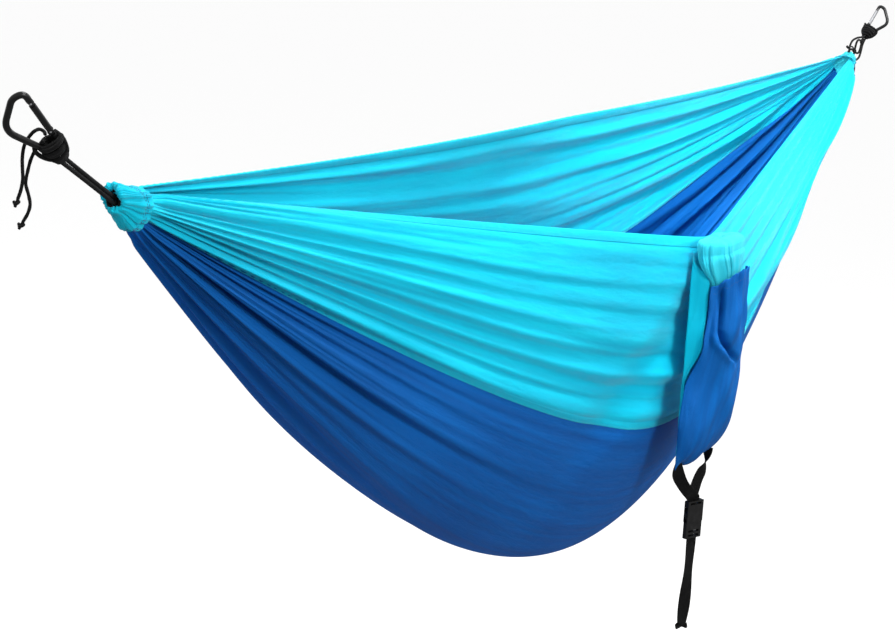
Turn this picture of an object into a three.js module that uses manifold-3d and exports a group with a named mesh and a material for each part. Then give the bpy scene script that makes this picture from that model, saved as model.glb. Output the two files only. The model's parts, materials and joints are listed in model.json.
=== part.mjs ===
// Camping hammock: three sewn nylon panels gathered at both ends, each end hung by a rope from
// a snap carabiner, with the stuff sack sewn to the near hem and its buckled webbing strap.
// Millimetres, +Z up, +X along the hammock. The origin is where the left anchor bears on the
// inside of the left carabiner's crown.
import * as THREE from "three";
import { mergeVertices } from "three/addons/utils/BufferGeometryUtils.js";
import Module from "manifold-3d";

const wasm = await Module();
wasm.setup();

// ---- Driving dimensions ----
const GAP = 0.3; // between pieces that touch
const HALF_SPAN = 1264; // half the distance between the two gathered ends
const NEAR_HEM = [-167, -185]; // y and z of the near hem at mid span, from the line of the ends
const FAR_HEM = [70, -28];
const BELLY_NEAR = [-181, -918]; // the two handles of the curve that hangs between the hems
const BELLY_FAR = [370, -918];
const SEAM = 0.573; // each seam's place, from 0 at the middle of the cloth to 1 at its hem
const DEPTH_SHAPE = { near: 1.03, belly: 1.35, far: 1.75 }; // 1 hangs straight, 2 is a round sag
const WIDTH_SHAPE = { near: 0.97, belly: 1.76, far: 0.97 };
const HEM_ROUND = 0.04; // how far the middle of a hem is rounded off, as a part of half the span
const BELLY_ROUND = 0.27;
const BUNDLE_R = 21; // radius of the cloth where it is gathered
const BUNDLE_TURN = 0.62 * Math.PI; // how far round the bundle each hem ends up
const CLOTH = 2.4; // thickness that stands for the cloth and its folds
const CHANNEL_L = 34; // the end channel, along the hammock
const CHANNEL_R = 24;
const CHANNEL_BORE = 9;
const ROPE_D = 4.5;
const TAIL_D = 3.5;
const TIE_D = 3;
const STRAND_L = 88; // from the channel's mouth to where the rope bends below the hitch
const LEFT_RISE = { strands: 31, carabiner: 45, strandsSide: 0, carabinerSide: 1 }; // degrees
const RIGHT_RISE = { strands: 28, carabiner: 45, strandsSide: -5, carabinerSide: -9 };
const FACING = new THREE.Vector3(0.87, 0.44, -0.21); // square to the flat of both carabiners
const BAR = 6.5; // the carabiner's bar
const RING = { length: 74, middle: 6, hinge: 22, nose: 60 };
const RING_CORNERS = [
  [RING.nose - 2, 0, 0], [74, 0, 7], [74, 12, 5], [47, 35, 14], [0, 12, 5], [0, 0, 5], [17.6, 0, 0],
];
const CROWN_POINT = new THREE.Vector3(71.2, 6.4, 0); // middle of the flat land inside the crown
const RIVET_R = 1.1;
const LATCH_X = RING.nose + 1;
const TONGUE = 2.2; // thickness of the flat tongues at the gate's two ends
const HITCH = { base: -13, thick: 16, bevel: 3 };
const BEND_BACK = 4.5; // the rope bends this far below the hitch
const TAIL_KNOT_R = 3.4;
const SACK = { x: -25, width: 124, length: 345, tab: 34, tabWidth: 116, mouth: 66 };
const SACK_DEPTH = { top: 64, bottom: 44, side: 24, rim: 30 }; // rim: how far the mouth's front rises
const SACK_OUT = 8; // the sack's back, out from the hem
const STRAP = { width: 20, thick: 1.6, apart: 80, out: -15, twist: -26, join: 62, tail: 146 };
const BUCKLE = { width: 32, female: 34, male: 26, thick: 9, cavity: 24, slot: 3.4 };

// ---- Colours ----
const cyan = { color: 0x14c0e0, roughness: 0.5, metalness: 0 };
const paleCyan = { color: 0x7fe6f2, roughness: 0.5, metalness: 0 };
const blue = { color: 0x0a4f9c, roughness: 0.5, metalness: 0 };
const cordBlack = { color: 0x141414, roughness: 0.85, metalness: 0 };
const coatedSteel = { color: 0x1b1b1d, roughness: 0.4, metalness: 0.8 };
const bareSteel = { color: 0x8b9094, roughness: 0.35, metalness: 1 };
const webbing = { color: 0x161616, roughness: 0.9, metalness: 0 };
const nylonMoulding = { color: 0x1a1a1a, roughness: 0.45, metalness: 0 };

const hammock = new THREE.Group();

function add(parent, name, geometry, look) {
  const mesh = new THREE.Mesh(geometry, new THREE.MeshStandardMaterial(look));
  mesh.name = name;
  parent.add(mesh);
  return mesh;
}

// ---- Solids that are joined and cut ----
function solid(geometry) {
  const bare = geometry.clone();
  bare.deleteAttribute("normal");
  bare.deleteAttribute("uv");
  const merged = mergeVertices(bare, 1e-4);
  return new wasm.Manifold(
    new wasm.Mesh({
      numProp: 3,
      vertProperties: new Float32Array(merged.attributes.position.array),
      triVerts: new Uint32Array(merged.index.array),
    }),
  );
}

function geometryOf(made) {
  const mesh = made.getMesh();
  const geometry = new THREE.BufferGeometry();
  geometry.setAttribute("position", new THREE.BufferAttribute(mesh.vertProperties, 3));
  geometry.setIndex(new THREE.BufferAttribute(mesh.triVerts, 1));
  return geometry;
}

function block(sizeX, sizeY, sizeZ, x, y, z) {
  return solid(new THREE.BoxGeometry(sizeX, sizeY, sizeZ).translate(x, y, z));
}

// A round bar along local Z through (x, y).
function pinAlongZ(radius, length, x, y, sides = 12) {
  const bar = new THREE.CylinderGeometry(radius, radius, length, sides);
  return bar.rotateX(Math.PI / 2).translate(x, y, 0);
}

// A round bar along local X from one x to another, at y = z = 0.
function barAlongX(radius, from, to, sides = 12) {
  const bar = new THREE.CylinderGeometry(radius, radius, to - from, sides);
  return bar.rotateZ(Math.PI / 2).translate((from + to) / 2, 0, 0);
}

function polygonSection(radius, sides) {
  const corners = [];
  for (let i = 0; i < sides; i++) {
    const turn = ((i + 0.5) * 2 * Math.PI) / sides;
    corners.push(new THREE.Vector2(radius * Math.cos(turn), radius * Math.sin(turn)));
  }
  return new THREE.Shape(corners);
}

function tube(path, diameter, steps, sides = 8) {
  const section = polygonSection(diameter / 2, sides);
  return new THREE.ExtrudeGeometry(section, { steps, extrudePath: path });
}

function curveThrough(points, closed = false) {
  const places = points.map(([x, y, z]) => new THREE.Vector3(x, y, z));
  return new THREE.CatmullRomCurve3(places, closed, "centripetal");
}

// A path of straight lines whose corners [x, y, cut] are rounded off from cut before to cut after.
function roundedPath(corners) {
  const path = new THREE.CurvePath();
  const at = corners.map(([x, y]) => new THREE.Vector3(x, y, 0));
  let from = at[0];
  for (let i = 1; i < at.length - 1; i++) {
    const cut = corners[i][2];
    const before = at[i].clone().lerp(at[i - 1], cut / at[i].distanceTo(at[i - 1]));
    const after = at[i].clone().lerp(at[i + 1], cut / at[i].distanceTo(at[i + 1]));
    path.add(new THREE.LineCurve3(from, before));
    path.add(new THREE.QuadraticBezierCurve3(before, at[i], after));
    from = after;
  }
  path.add(new THREE.LineCurve3(from, at[at.length - 1]));
  return path;
}

// ---- Directions and places of the two suspensions ----
function direction(side, rise, aside) {
  const up = THREE.MathUtils.degToRad(rise);
  const across = THREE.MathUtils.degToRad(aside);
  return new THREE.Vector3(
    side * Math.cos(up) * Math.cos(across),
    Math.sin(across),
    Math.sin(up) * Math.cos(across),
  );
}

// Axes of a carabiner: x from its narrow end to its crown, y to its spine, z out of its flat.
function carabinerAxes(side, rise) {
  const x = direction(side, rise.carabiner, rise.carabinerSide);
  const y = x.clone().cross(FACING).multiplyScalar(-side).normalize();
  const z = x.clone().cross(y);
  return new THREE.Matrix4().makeBasis(x, y, z);
}

const leftAxes = carabinerAxes(-1, LEFT_RISE);
const leftCarabinerPlace = CROWN_POINT.clone().applyMatrix4(leftAxes).negate();
const hitchBase = new THREE.Vector3(HITCH.base - BEND_BACK, RING.middle, 0);
const leftBend = hitchBase.clone().applyMatrix4(leftAxes).add(leftCarabinerPlace);
const leftStrandWay = direction(-1, LEFT_RISE.strands, LEFT_RISE.strandsSide);
const leftMouth = leftBend.clone().addScaledVector(leftStrandWay, -STRAND_L);
const middle = leftMouth.clone().add(new THREE.Vector3(HALF_SPAN, 0, 0));
const rightMouth = middle.clone().add(new THREE.Vector3(HALF_SPAN, 0, 0));
const rightStrandWay = direction(1, RIGHT_RISE.strands, RIGHT_RISE.strandsSide);
const rightBend = rightMouth.clone().addScaledVector(rightStrandWay, STRAND_L);
const rightAxes = carabinerAxes(1, RIGHT_RISE);
const rightCarabinerPlace = rightBend.clone().sub(hitchBase.clone().applyMatrix4(rightAxes));

// ---- The cloth ----
// The curve that the cloth hangs in at mid span, by arc length, from the near hem to the far one.
const across = new THREE.CubicBezierCurve(
  new THREE.Vector2(...NEAR_HEM),
  new THREE.Vector2(...BELLY_NEAR),
  new THREE.Vector2(...BELLY_FAR),
  new THREE.Vector2(...FAR_HEM),
);

function shapeAt(shape, v) {
  const edge = v < 0 ? shape.near : shape.far;
  return shape.belly + (edge - shape.belly) * v * v;
}

// 1 at mid span and 0 at the ends, rounded over the middle.
function fullness(s, power, round) {
  const height = (x) => (x * x + round * round) ** (power / 2);
  return 1 - (height(s) - height(0)) / (height(1) - height(0));
}

// A place on the cloth: s from -1 at the left end to 1, v from -1 at the near hem to 1.
function clothPoint(s, v) {
  const hang = across.getPointAt(THREE.MathUtils.clamp((v + 1) / 2, 0, 1));
  const round = HEM_ROUND + (BELLY_ROUND - HEM_ROUND) * (1 - v * v);
  const wide = fullness(s, shapeAt(WIDTH_SHAPE, v), round);
  const deep = fullness(s, shapeAt(DEPTH_SHAPE, v), round);
  return new THREE.Vector3(
    HALF_SPAN * s,
    hang.x * wide + BUNDLE_R * Math.sin(v * BUNDLE_TURN) * (1 - wide),
    hang.y * deep - BUNDLE_R * Math.cos(v * BUNDLE_TURN) * (1 - deep),
  );
}

// A closed slab laid over a surface: u and v run over the two ranges, in cells of equal size.
// Its v borders stand back by half a gap, so that two slabs can meet along a seam.
function slab(point, uRange, vRange, cells, thickness) {
  const uMid = (uRange[0] + uRange[1]) / 2;
  const vMid = (vRange[0] + vRange[1]) / 2;
  const plate = new THREE.BoxGeometry(
    uRange[1] - uRange[0], vRange[1] - vRange[0], thickness, cells[0], cells[1], 1,
  );
  const place = plate.attributes.position;
  const step = 1e-3;
  for (let i = 0; i < place.count; i++) {
    const u = place.getX(i) + uMid;
    const v = place.getY(i) + vMid;
    const alongU = point(u + step, v).sub(point(u - step, v));
    const alongV = point(u, v + step).sub(point(u, v - step));
    const out = alongU.cross(alongV).normalize();
    const fromMid = (v - vMid) / (vRange[1] - vMid);
    const standBack = Math.abs(fromMid) > 0.999 ? -Math.sign(fromMid) * GAP : 0;
    const there = point(u, v).addScaledVector(out, place.getZ(i))
      .addScaledVector(alongV.normalize(), standBack);
    place.setXYZ(i, there.x, there.y, there.z);
  }
  return plate;
}

const cloth = new THREE.Group();
cloth.position.copy(middle);
hammock.add(cloth);
const clothEnd = 1 - (CHANNEL_L + GAP) / HALF_SPAN;
const lengthCells = 34;
add(cloth, "near_side_panel",
  slab(clothPoint, [-clothEnd, clothEnd], [-1, -SEAM], [lengthCells, 6], CLOTH), cyan);
add(cloth, "centre_panel",
  slab(clothPoint, [-clothEnd, clothEnd], [-SEAM, SEAM],
    [lengthCells, 12], CLOTH), blue);
add(cloth, "far_side_panel",
  slab(clothPoint, [-clothEnd, clothEnd], [SEAM, 1], [lengthCells, 6], CLOTH), cyan);

// The end channel: the cloth's ends folded over the rope, sewn and drawn into a thick ring.
function gatheredChannel() {
  const profile = [
    new THREE.Vector2(CHANNEL_BORE, 0),
    new THREE.Vector2(CHANNEL_R - 2, 0),
    new THREE.Vector2(CHANNEL_R, CHANNEL_L * 0.3),
    new THREE.Vector2(CHANNEL_R, CHANNEL_L * 0.7),
    new THREE.Vector2(CHANNEL_R - 3, CHANNEL_L),
    new THREE.Vector2(CHANNEL_BORE, CHANNEL_L),
    new THREE.Vector2(CHANNEL_BORE, 0),
  ];
  return new THREE.LatheGeometry(profile, 20).rotateZ(-Math.PI / 2);
}

add(hammock, "left_gathered_channel", gatheredChannel(), cyan).position.copy(leftMouth);
const rightChannel = add(hammock, "right_gathered_channel", gatheredChannel(), paleCyan);
rightChannel.position.copy(rightMouth);
rightChannel.rotation.z = Math.PI;

// ---- The ropes ----
// The doubled rope: one strand in to the bight that the channel holds and one back out.
// It crosses itself `crossings` times on the way, opening by `spread` between.
function ropeLoop(way, crossings, spread) {
  const side = Math.sign(way.x);
  const sideways = new THREE.Vector3(0, 0, 1).cross(way).normalize();
  const upward = way.clone().cross(sideways);
  const near = ROPE_D / 2 + GAP / 2;
  const stretch = 8;
  const strand = (sign) => {
    const points = [];
    for (let i = 0; i <= stretch; i++) {
      const part = i / stretch;
      const turn = crossings * Math.PI * part;
      const open = near + spread * Math.sin(turn) ** 2;
      const lift = crossings ? near * Math.sin(turn) * sign : 0;
      const apart = crossings ? open * Math.cos(turn) * sign : near * sign;
      points.push(way.clone().multiplyScalar(STRAND_L * (1 - part) - GAP)
        .addScaledVector(sideways, lift).addScaledVector(upward, apart));
    }
    return points;
  };
  const inward = strand(1);
  const outward = strand(-1).reverse();
  const bend = (z) => new THREE.Vector3(-side * 22, 0, z);
  const bight = [
    new THREE.Vector3(-side * 12, 0, near),
    bend(near),
    new THREE.Vector3(-side * 25, 0, 0),
    bend(-near),
    new THREE.Vector3(-side * 12, 0, -near),
  ];
  const first = inward[inward.length - 1].dot(upward) > 0 ? bight : bight.slice().reverse();
  return new THREE.CatmullRomCurve3([...inward.slice(0, -1), ...first, ...outward.slice(1)],
    false, "centripetal");
}

add(hammock, "left_rope", tube(ropeLoop(leftStrandWay, 0, 0), ROPE_D, 44), cordBlack)
  .position.copy(leftMouth);
add(hammock, "right_rope", tube(ropeLoop(rightStrandWay, 2, 3), ROPE_D, 52), cordBlack)
  .position.copy(rightMouth);

// ---- The carabiners ----
function carabinerBar() {
  return tube(roundedPath(RING_CORNERS), BAR, 44);
}

// The bent bar with a tongue for the gate's hinge, a slotted nose for its latch and a flat land
// inside its crown.
function carabinerBody() {
  const slotLength = 7;
  const tongue = block(9.4, BAR * 0.8, TONGUE, RING.hinge - 1.7, 0, 0)
    .subtract(solid(pinAlongZ(RIVET_R + GAP, TONGUE * 2, RING.hinge, 0)));
  const nose = block(slotLength, BAR + 2, TONGUE + 2 * GAP, RING.nose + 1, 0, 0);
  const notch = block(2 * (RIVET_R + GAP), 6, BAR + 2, LATCH_X, 3 - RIVET_R - GAP, 0);
  const land = block(5.2, 5.6, BAR + 2, CROWN_POINT.x - 2.6, CROWN_POINT.y, 0);
  return geometryOf(solid(carabinerBar()).add(tongue).subtract(nose).subtract(notch).subtract(land));
}

// The gate: a round bar with a forked, rounded foot, a tongue at its tip and a bore for its spring.
function carabinerGate() {
  const tip = RING.nose - 3;
  const foot = solid(pinAlongZ(BAR / 2, BAR - 1.4, RING.hinge, 0, 16));
  const fork = block(9, BAR + 2, TONGUE + 2 * GAP, RING.hinge, 0, 0);
  const made = solid(barAlongX(BAR / 2, RING.hinge, tip))
    .add(foot)
    .subtract(fork)
    .subtract(solid(barAlongX(1.8, RING.hinge, RING.hinge + 22, 8)))
    .add(block(6.5, 4.4, TONGUE, tip + 2.75, 0, 0))
    .subtract(solid(pinAlongZ(RIVET_R + GAP, BAR * 2, RING.hinge, 0)))
    .subtract(solid(pinAlongZ(RIVET_R + GAP, TONGUE * 2, LATCH_X, 0)));
  return geometryOf(made);
}

// The rope's wraps round the narrow end of the ring, drawn tight over both of its legs.
function hitch() {
  const outline = new THREE.Shape([
    new THREE.Vector2(HITCH.base, 0.5),
    new THREE.Vector2(-5, -5.5),
    new THREE.Vector2(8, -7.5),
    new THREE.Vector2(16.5, -6.5),
    new THREE.Vector2(16, 12),
    new THREE.Vector2(11, 24),
    new THREE.Vector2(2, 21.5),
    new THREE.Vector2(-8, 16),
    new THREE.Vector2(HITCH.base, 11),
  ]);
  const depth = HITCH.thick - 2 * HITCH.bevel;
  const body = new THREE.ExtrudeGeometry(outline, {
    depth,
    bevelSize: HITCH.bevel,
    bevelOffset: -HITCH.bevel,
    bevelThickness: HITCH.bevel,
    bevelSegments: 2,
  }).translate(0, 0, -depth / 2);
  const ring = tube(roundedPath(RING_CORNERS), BAR + 4 * GAP, 44);
  return geometryOf(solid(body).subtract(solid(ring)));
}

function suspension(side, place, axes) {
  const group = new THREE.Group();
  group.applyMatrix4(axes);
  group.position.copy(place);
  hammock.add(group);
  add(group, `${side}_carabiner_body`, carabinerBody(), coatedSteel);
  add(group, `${side}_carabiner_gate`, carabinerGate(), coatedSteel);
  add(group, `${side}_gate_rivet`, pinAlongZ(RIVET_R, BAR - 1.2, RING.hinge, 0), bareSteel);
  add(group, `${side}_latch_rivet`, pinAlongZ(RIVET_R, BAR - 0.6, LATCH_X, 0), bareSteel);
  add(group, `${side}_gate_spring`,
    barAlongX(1.3, RING.hinge + 6, RING.hinge + 21, 8), bareSteel);
  add(group, `${side}_hitch`, hitch(), cordBlack);
}

suspension("left", leftCarabinerPlace, leftAxes);
suspension("right", rightCarabinerPlace, rightAxes);

// ---- The cords' free tails, each with a knot at its end ----
const LEFT_TAIL_UPPER = [
  [44.8, 5.9, -37.1], [46.6, 8.4, -35.2], [43.6, 11.2, -32.9], [39, 13.8, -34.6],
  [36.4, 18.6, -41], [36.2, 23.2, -49], [35.9, 25, -60], [35.9, 24.8, -70],
  [36, 24.4, -80], [35.2, 26.1, -91], [33.9, 28.4, -99],
];
const LEFT_TAIL_LOWER = [
  [49.8, 9.9, -47.9], [51.6, 12.4, -46.2], [50.6, 16, -48], [47.6, 19.6, -54],
  [45.4, 22.6, -62], [43.9, 25, -73], [43, 26.7, -85], [44.3, 24.3, -96],
  [44.9, 22.9, -105], [43.9, 24.8, -113.5], [41.9, 28.6, -121.5],
];
// The right tails, from the middle of the right channel's mouth.
const RIGHT_TAIL_TOP = [
  [1, -6.2, 3], [5, -7, 6], [7, -7, 13], [5.4, -6.4, 20], [1, -5.6, 25], [-6, -5, 26.6],
  [-15, -5, 26.4], [-24, -5, 26.4], [-32, -5, 26.6],
];
const RIGHT_TAIL_SIDE = [
  [1, -5, -4.2], [4.4, -8, -5.4], [6.2, -11, -10], [6.2, -12, -16], [5.6, -12.2, -22],
  [5.2, -11.8, -31],
];

function tail(name, points, diameter, origin) {
  const path = curveThrough(points);
  add(hammock, name, tube(path, diameter, 18), cordBlack).position.copy(origin);
  const end = path.getPoint(1);
  const way = path.getTangent(1);
  const knot = new THREE.SphereGeometry(TAIL_KNOT_R, 10, 7);
  const place = end.addScaledVector(way, TAIL_KNOT_R + GAP).add(origin);
  add(hammock, `${name}_knot`, knot, cordBlack).position.copy(place);
}

const crown = new THREE.Vector3();
tail("left_upper_tail", LEFT_TAIL_UPPER, TAIL_D, crown);
tail("left_lower_tail", LEFT_TAIL_LOWER, TAIL_D, crown);
tail("right_top_tail", RIGHT_TAIL_TOP, TIE_D, rightMouth);
tail("right_side_tail", RIGHT_TAIL_SIDE, TIE_D, rightMouth);

// ---- The stuff sack ----
const hemPoint = clothPoint(SACK.x / HALF_SPAN, -1);
const sack = new THREE.Group();
sack.position.copy(hemPoint).add(new THREE.Vector3(0, -SACK_OUT, 0));
cloth.add(sack);

const tabDepth = 10;
const tabCorner = 3;
const tabOutline = new THREE.Shape([
  new THREE.Vector2(-tabDepth / 2, 4),
  new THREE.Vector2(-tabDepth / 2, -SACK.tab + tabCorner),
  new THREE.Vector2(-tabDepth / 4, -SACK.tab),
  new THREE.Vector2(tabDepth / 4, -SACK.tab),
  new THREE.Vector2(tabDepth / 2, -SACK.tab + tabCorner),
  new THREE.Vector2(tabDepth / 2, 4),
]);
const tabBody = new THREE.ExtrudeGeometry(tabOutline, { depth: SACK.tabWidth, bevelEnabled: false })
  .rotateX(Math.PI / 2)
  .rotateZ(Math.PI / 2)
  .translate(-SACK.tabWidth / 2, 0, 0);
add(sack, "sack_tab", tabBody, paleCyan);

const foldZ = -SACK.tab - 2;
const sackBottom = -SACK.length;

function sackBack(u, v) {
  const half = SACK.width / 2 - 6 * (1 - v) ** 3;
  const hollow = 4 * (1 - u * u) * Math.sin(Math.PI * v);
  return new THREE.Vector3(half * u, hollow, foldZ - GAP + (sackBottom - foldZ) * v);
}

function sackFront(u, v) {
  const turn = (u * Math.PI) / 2;
  const half = SACK.width / 2 - 12 * (1 - v) ** 4;
  const side = SACK_DEPTH.side * (1 - THREE.MathUtils.smoothstep(v, 0, 0.7));
  const front = SACK_DEPTH.top + (SACK_DEPTH.bottom - SACK_DEPTH.top) * v * v;
  const depth = (side + (front - side) * Math.cos(turn)) * (1 - v ** 12);
  const z = -SACK.mouth + (sackBottom + SACK.mouth) * v
    + SACK_DEPTH.rim * Math.cos(turn) * (1 - v) ** 3;
  return new THREE.Vector3(half * Math.sin(turn), -CLOTH - 2 * GAP - depth, z);
}

add(sack, "sack_back_panel", slab(sackBack, [-1, 1], [0, 1], [8, 8], CLOTH), cyan);
add(sack, "sack_front_panel", slab(sackFront, [-0.94, 0.94], [0, 1], [12, 14], CLOTH), blue);

const drawcordPoints = [];
for (let i = -6; i <= 6; i++) {
  const at = sackFront((i / 6) * 0.9, 0);
  drawcordPoints.push([at.x, at.y, at.z + TIE_D / 2 + 2 * GAP]);
}
add(sack, "sack_drawcord", tube(curveThrough(drawcordPoints), TIE_D, 16), cordBlack);

// ---- The webbing strap and its buckle, below the sack ----
const strap = new THREE.Group();
const strapZ = sackBottom - 4;
strap.position.set(0, STRAP.out, strapZ);
sack.add(strap);
const twist = THREE.MathUtils.degToRad(STRAP.twist);
const buckleAcross = new THREE.Vector3(Math.cos(twist), Math.sin(twist), 0);
const buckleBack = new THREE.Vector3(-Math.sin(twist), Math.cos(twist), 0);

// A strap along a path. turned(v) says how far its width has turned at v, from 0 for along the X
// axis to 1 for along the buckle.
function ribbon(points, turned, cells) {
  const path = curveThrough(points);
  const point = (u, v) => {
    const wide = new THREE.Vector3(1, 0, 0).lerp(buckleAcross, turned(v)).normalize();
    return path.getPointAt(THREE.MathUtils.clamp(v, 0, 1)).addScaledVector(wide, u);
  };
  const half = STRAP.width / 2;
  return slab(point, [-half, half], [0, 1], [1, cells], STRAP.thick);
}

const buckleTop = -STRAP.join;
add(strap, "strap_fixed", ribbon([
  [-STRAP.apart / 2, 0, 0], [-STRAP.apart / 2 + 6, 0, -14], [-14, 0, -36],
  [-2, 0, buckleTop + 8], [0, 0, buckleTop + GAP],
], (v) => THREE.MathUtils.smoothstep(v, 0, 0.8), 9), webbing);

const behind = buckleBack.clone().multiplyScalar(BUCKLE.thick / 2 + STRAP.thick / 2 + 1);
const behindAt = (z) => [behind.x, behind.y, z];
add(strap, "strap_adjusting", ribbon([
  [STRAP.apart / 2, 1, 0], [STRAP.apart / 2 - 4, 2, -16], [22, 5, -38], behindAt(buckleTop - 6),
  behindAt(buckleTop - 30), behindAt(buckleTop - BUCKLE.female - BUCKLE.male),
], (v) => THREE.MathUtils.smoothstep(v, 0, 0.45), 12), webbing);

const buckle = new THREE.Group();
buckle.position.z = buckleTop;
buckle.rotation.z = twist;
strap.add(buckle);
const slotWidth = STRAP.width + 2;

// The socket: a front and a back plate that meet at the top, where its strap's bar is.
function buckleFemale() {
  const { width, female, thick, cavity, slot } = BUCKLE;
  return geometryOf(
    block(width, thick, female, 0, 0, -female / 2)
      .subtract(block(width + 2, thick - 3.6, cavity, 0, 0, -female + cavity / 2 - 0.01))
      .subtract(block(slotWidth, thick + 2, slot, 0, 0, -slot / 2 - 2.4)),
  );
}

// The plug: a base with the two slots of its ladder lock, and a guide that enters the socket.
function buckleMale() {
  const { width, female, male, thick, slot } = BUCKLE;
  const top = -female - GAP;
  return geometryOf(
    block(width, thick - 2, male, 0, 0, top - male / 2)
      .add(block(5, 4.4, 18, 0, 0, top + 8))
      .subtract(block(slotWidth, thick, slot, 0, 0, top - male + 4.4))
      .subtract(block(slotWidth, thick, slot, 0, 0, top - male + 11.4)),
  );
}

// A latch arm of the plug, whose pad shows at the side of the socket.
function buckleLatch(side) {
  const top = -BUCKLE.female;
  const arm = new THREE.Shape([
    new THREE.Vector2(7.6, top + 0.6),
    new THREE.Vector2(12, top + 0.6),
    new THREE.Vector2(15.8, top + 7),
    new THREE.Vector2(15.8, top + 15),
    new THREE.Vector2(12.4, top + 19.6),
    new THREE.Vector2(9.6, top + 19.6),
  ]);
  const depth = 4.4;
  const made = new THREE.ExtrudeGeometry(arm, { depth, bevelEnabled: false })
    .rotateX(Math.PI / 2)
    .translate(0, depth / 2, 0);
  return side < 0 ? made.rotateZ(Math.PI) : made;
}

add(buckle, "buckle_female", buckleFemale(), nylonMoulding);
add(buckle, "buckle_male", buckleMale(), nylonMoulding);
add(buckle, "buckle_left_latch", buckleLatch(-1), nylonMoulding);
add(buckle, "buckle_right_latch", buckleLatch(1), nylonMoulding);

const tailTop = buckleTop - BUCKLE.female - BUCKLE.male - 2 * GAP;
add(strap, "strap_tail", ribbon([
  [0, 0, tailTop], [-3, -1, tailTop - 30], [-3, 0, tailTop - 70], [-1, 2, tailTop - 110],
  [-2, 3, tailTop - STRAP.tail],
], () => 1, 10), webbing);

export default hammock;
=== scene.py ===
"""Looks of the camping hammock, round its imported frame. Metres, +Z up, +X along the hammock."""

import json
import math

import bmesh
import bpy
import numpy as np
from mathutils import Matrix, Vector


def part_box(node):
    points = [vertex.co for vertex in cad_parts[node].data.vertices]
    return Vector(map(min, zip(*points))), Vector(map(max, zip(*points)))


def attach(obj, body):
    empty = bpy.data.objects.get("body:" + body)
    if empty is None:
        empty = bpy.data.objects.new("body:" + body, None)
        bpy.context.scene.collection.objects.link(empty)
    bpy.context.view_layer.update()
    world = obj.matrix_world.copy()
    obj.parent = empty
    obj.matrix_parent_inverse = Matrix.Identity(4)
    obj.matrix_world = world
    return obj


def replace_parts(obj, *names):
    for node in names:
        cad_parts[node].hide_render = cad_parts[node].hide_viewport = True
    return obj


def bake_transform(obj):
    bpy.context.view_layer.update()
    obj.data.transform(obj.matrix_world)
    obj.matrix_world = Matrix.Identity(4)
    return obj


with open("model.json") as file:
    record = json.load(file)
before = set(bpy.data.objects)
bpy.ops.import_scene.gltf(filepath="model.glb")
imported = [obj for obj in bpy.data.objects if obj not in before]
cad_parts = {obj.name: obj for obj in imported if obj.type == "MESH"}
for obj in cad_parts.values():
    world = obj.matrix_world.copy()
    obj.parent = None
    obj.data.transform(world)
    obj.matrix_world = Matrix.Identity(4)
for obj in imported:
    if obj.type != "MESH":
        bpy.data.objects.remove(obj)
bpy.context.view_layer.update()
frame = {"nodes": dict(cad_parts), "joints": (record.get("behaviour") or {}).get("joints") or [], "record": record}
joints = {j["name"]: j for j in frame["joints"]}
mounts = {m["name"]: m for m in frame["record"]["mounts"]}
MM = 0.001


# ---- Camera ----
LENS, SENSOR = 78.2, 36  # millimetres
CAMERA_PLACE = (-1.3732, -1.1388, 0.2115)
CAMERA_AHEAD = Vector((0.8704, 0.4411, -0.2188))
CAMERA_RIGHT = Vector((0.4623, -0.885, 0.0549))


def make_camera():
    """A long lens from beyond the left end, a little above the hammock and turned slightly."""
    data = bpy.data.cameras.new("camera")
    data.lens, data.sensor_width = LENS, SENSOR
    data.clip_start, data.clip_end = 0.05, 200
    camera = bpy.data.objects.new("camera", data)
    ahead = CAMERA_AHEAD.normalized()
    right = (CAMERA_RIGHT - ahead * CAMERA_RIGHT.dot(ahead)).normalized()
    turn = Matrix((right, right.cross(ahead), -ahead)).transposed().to_4x4()
    camera.matrix_world = Matrix.Translation(CAMERA_PLACE) @ turn
    bpy.context.scene.collection.objects.link(camera)
    bpy.context.scene.camera = camera


make_camera()


# ---- Small geometry tools ----
def unit(vectors):
    return vectors / np.maximum(np.linalg.norm(vectors, axis=-1, keepdims=True), 1e-12)


def make_object(name, points, faces, material, grain=None):
    """A mesh object. grain holds each point's place in the material, in metres along and across."""
    mesh = bpy.data.meshes.new(name)
    mesh.from_pydata(np.asarray(points, float).reshape(-1, 3).tolist(), [], faces)
    mesh.polygons.foreach_set("use_smooth", [True] * len(mesh.polygons))
    if grain is not None:
        attribute = mesh.attributes.new("grain", "FLOAT_VECTOR", "POINT")
        flat = np.zeros((len(mesh.vertices), 3), np.float32)
        flat[:, : grain.shape[-1]] = grain.reshape(-1, grain.shape[-1])
        attribute.data.foreach_set("vector", flat.ravel())
    mesh.materials.append(material)
    mesh.validate()
    made = bpy.data.objects.new(name, mesh)
    bpy.context.scene.collection.objects.link(made)
    return made


def grid_faces(rows, columns, wrap=False, start=0):
    """Quads of a grid of points, row by row. With wrap, the last column joins the first."""
    i, j = np.meshgrid(
        np.arange(rows - 1), np.arange(columns if wrap else columns - 1), indexing="ij"
    )
    after = (j + 1) % columns
    quads = np.stack(
        [i * columns + j, i * columns + after, (i + 1) * columns + after, (i + 1) * columns + j], -1
    )
    return (quads.reshape(-1, 4) + start).tolist()


def loft_parts(rings, start=0):
    """Points and faces of a closed body through rings of points, with capped ends."""
    rows, columns = rings.shape[:2]
    faces = grid_faces(rows, columns, wrap=True, start=start)
    faces.append([start + k for k in reversed(range(columns))])
    faces.append([start + (rows - 1) * columns + k for k in range(columns)])
    return rings.reshape(-1, 3), faces


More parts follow.
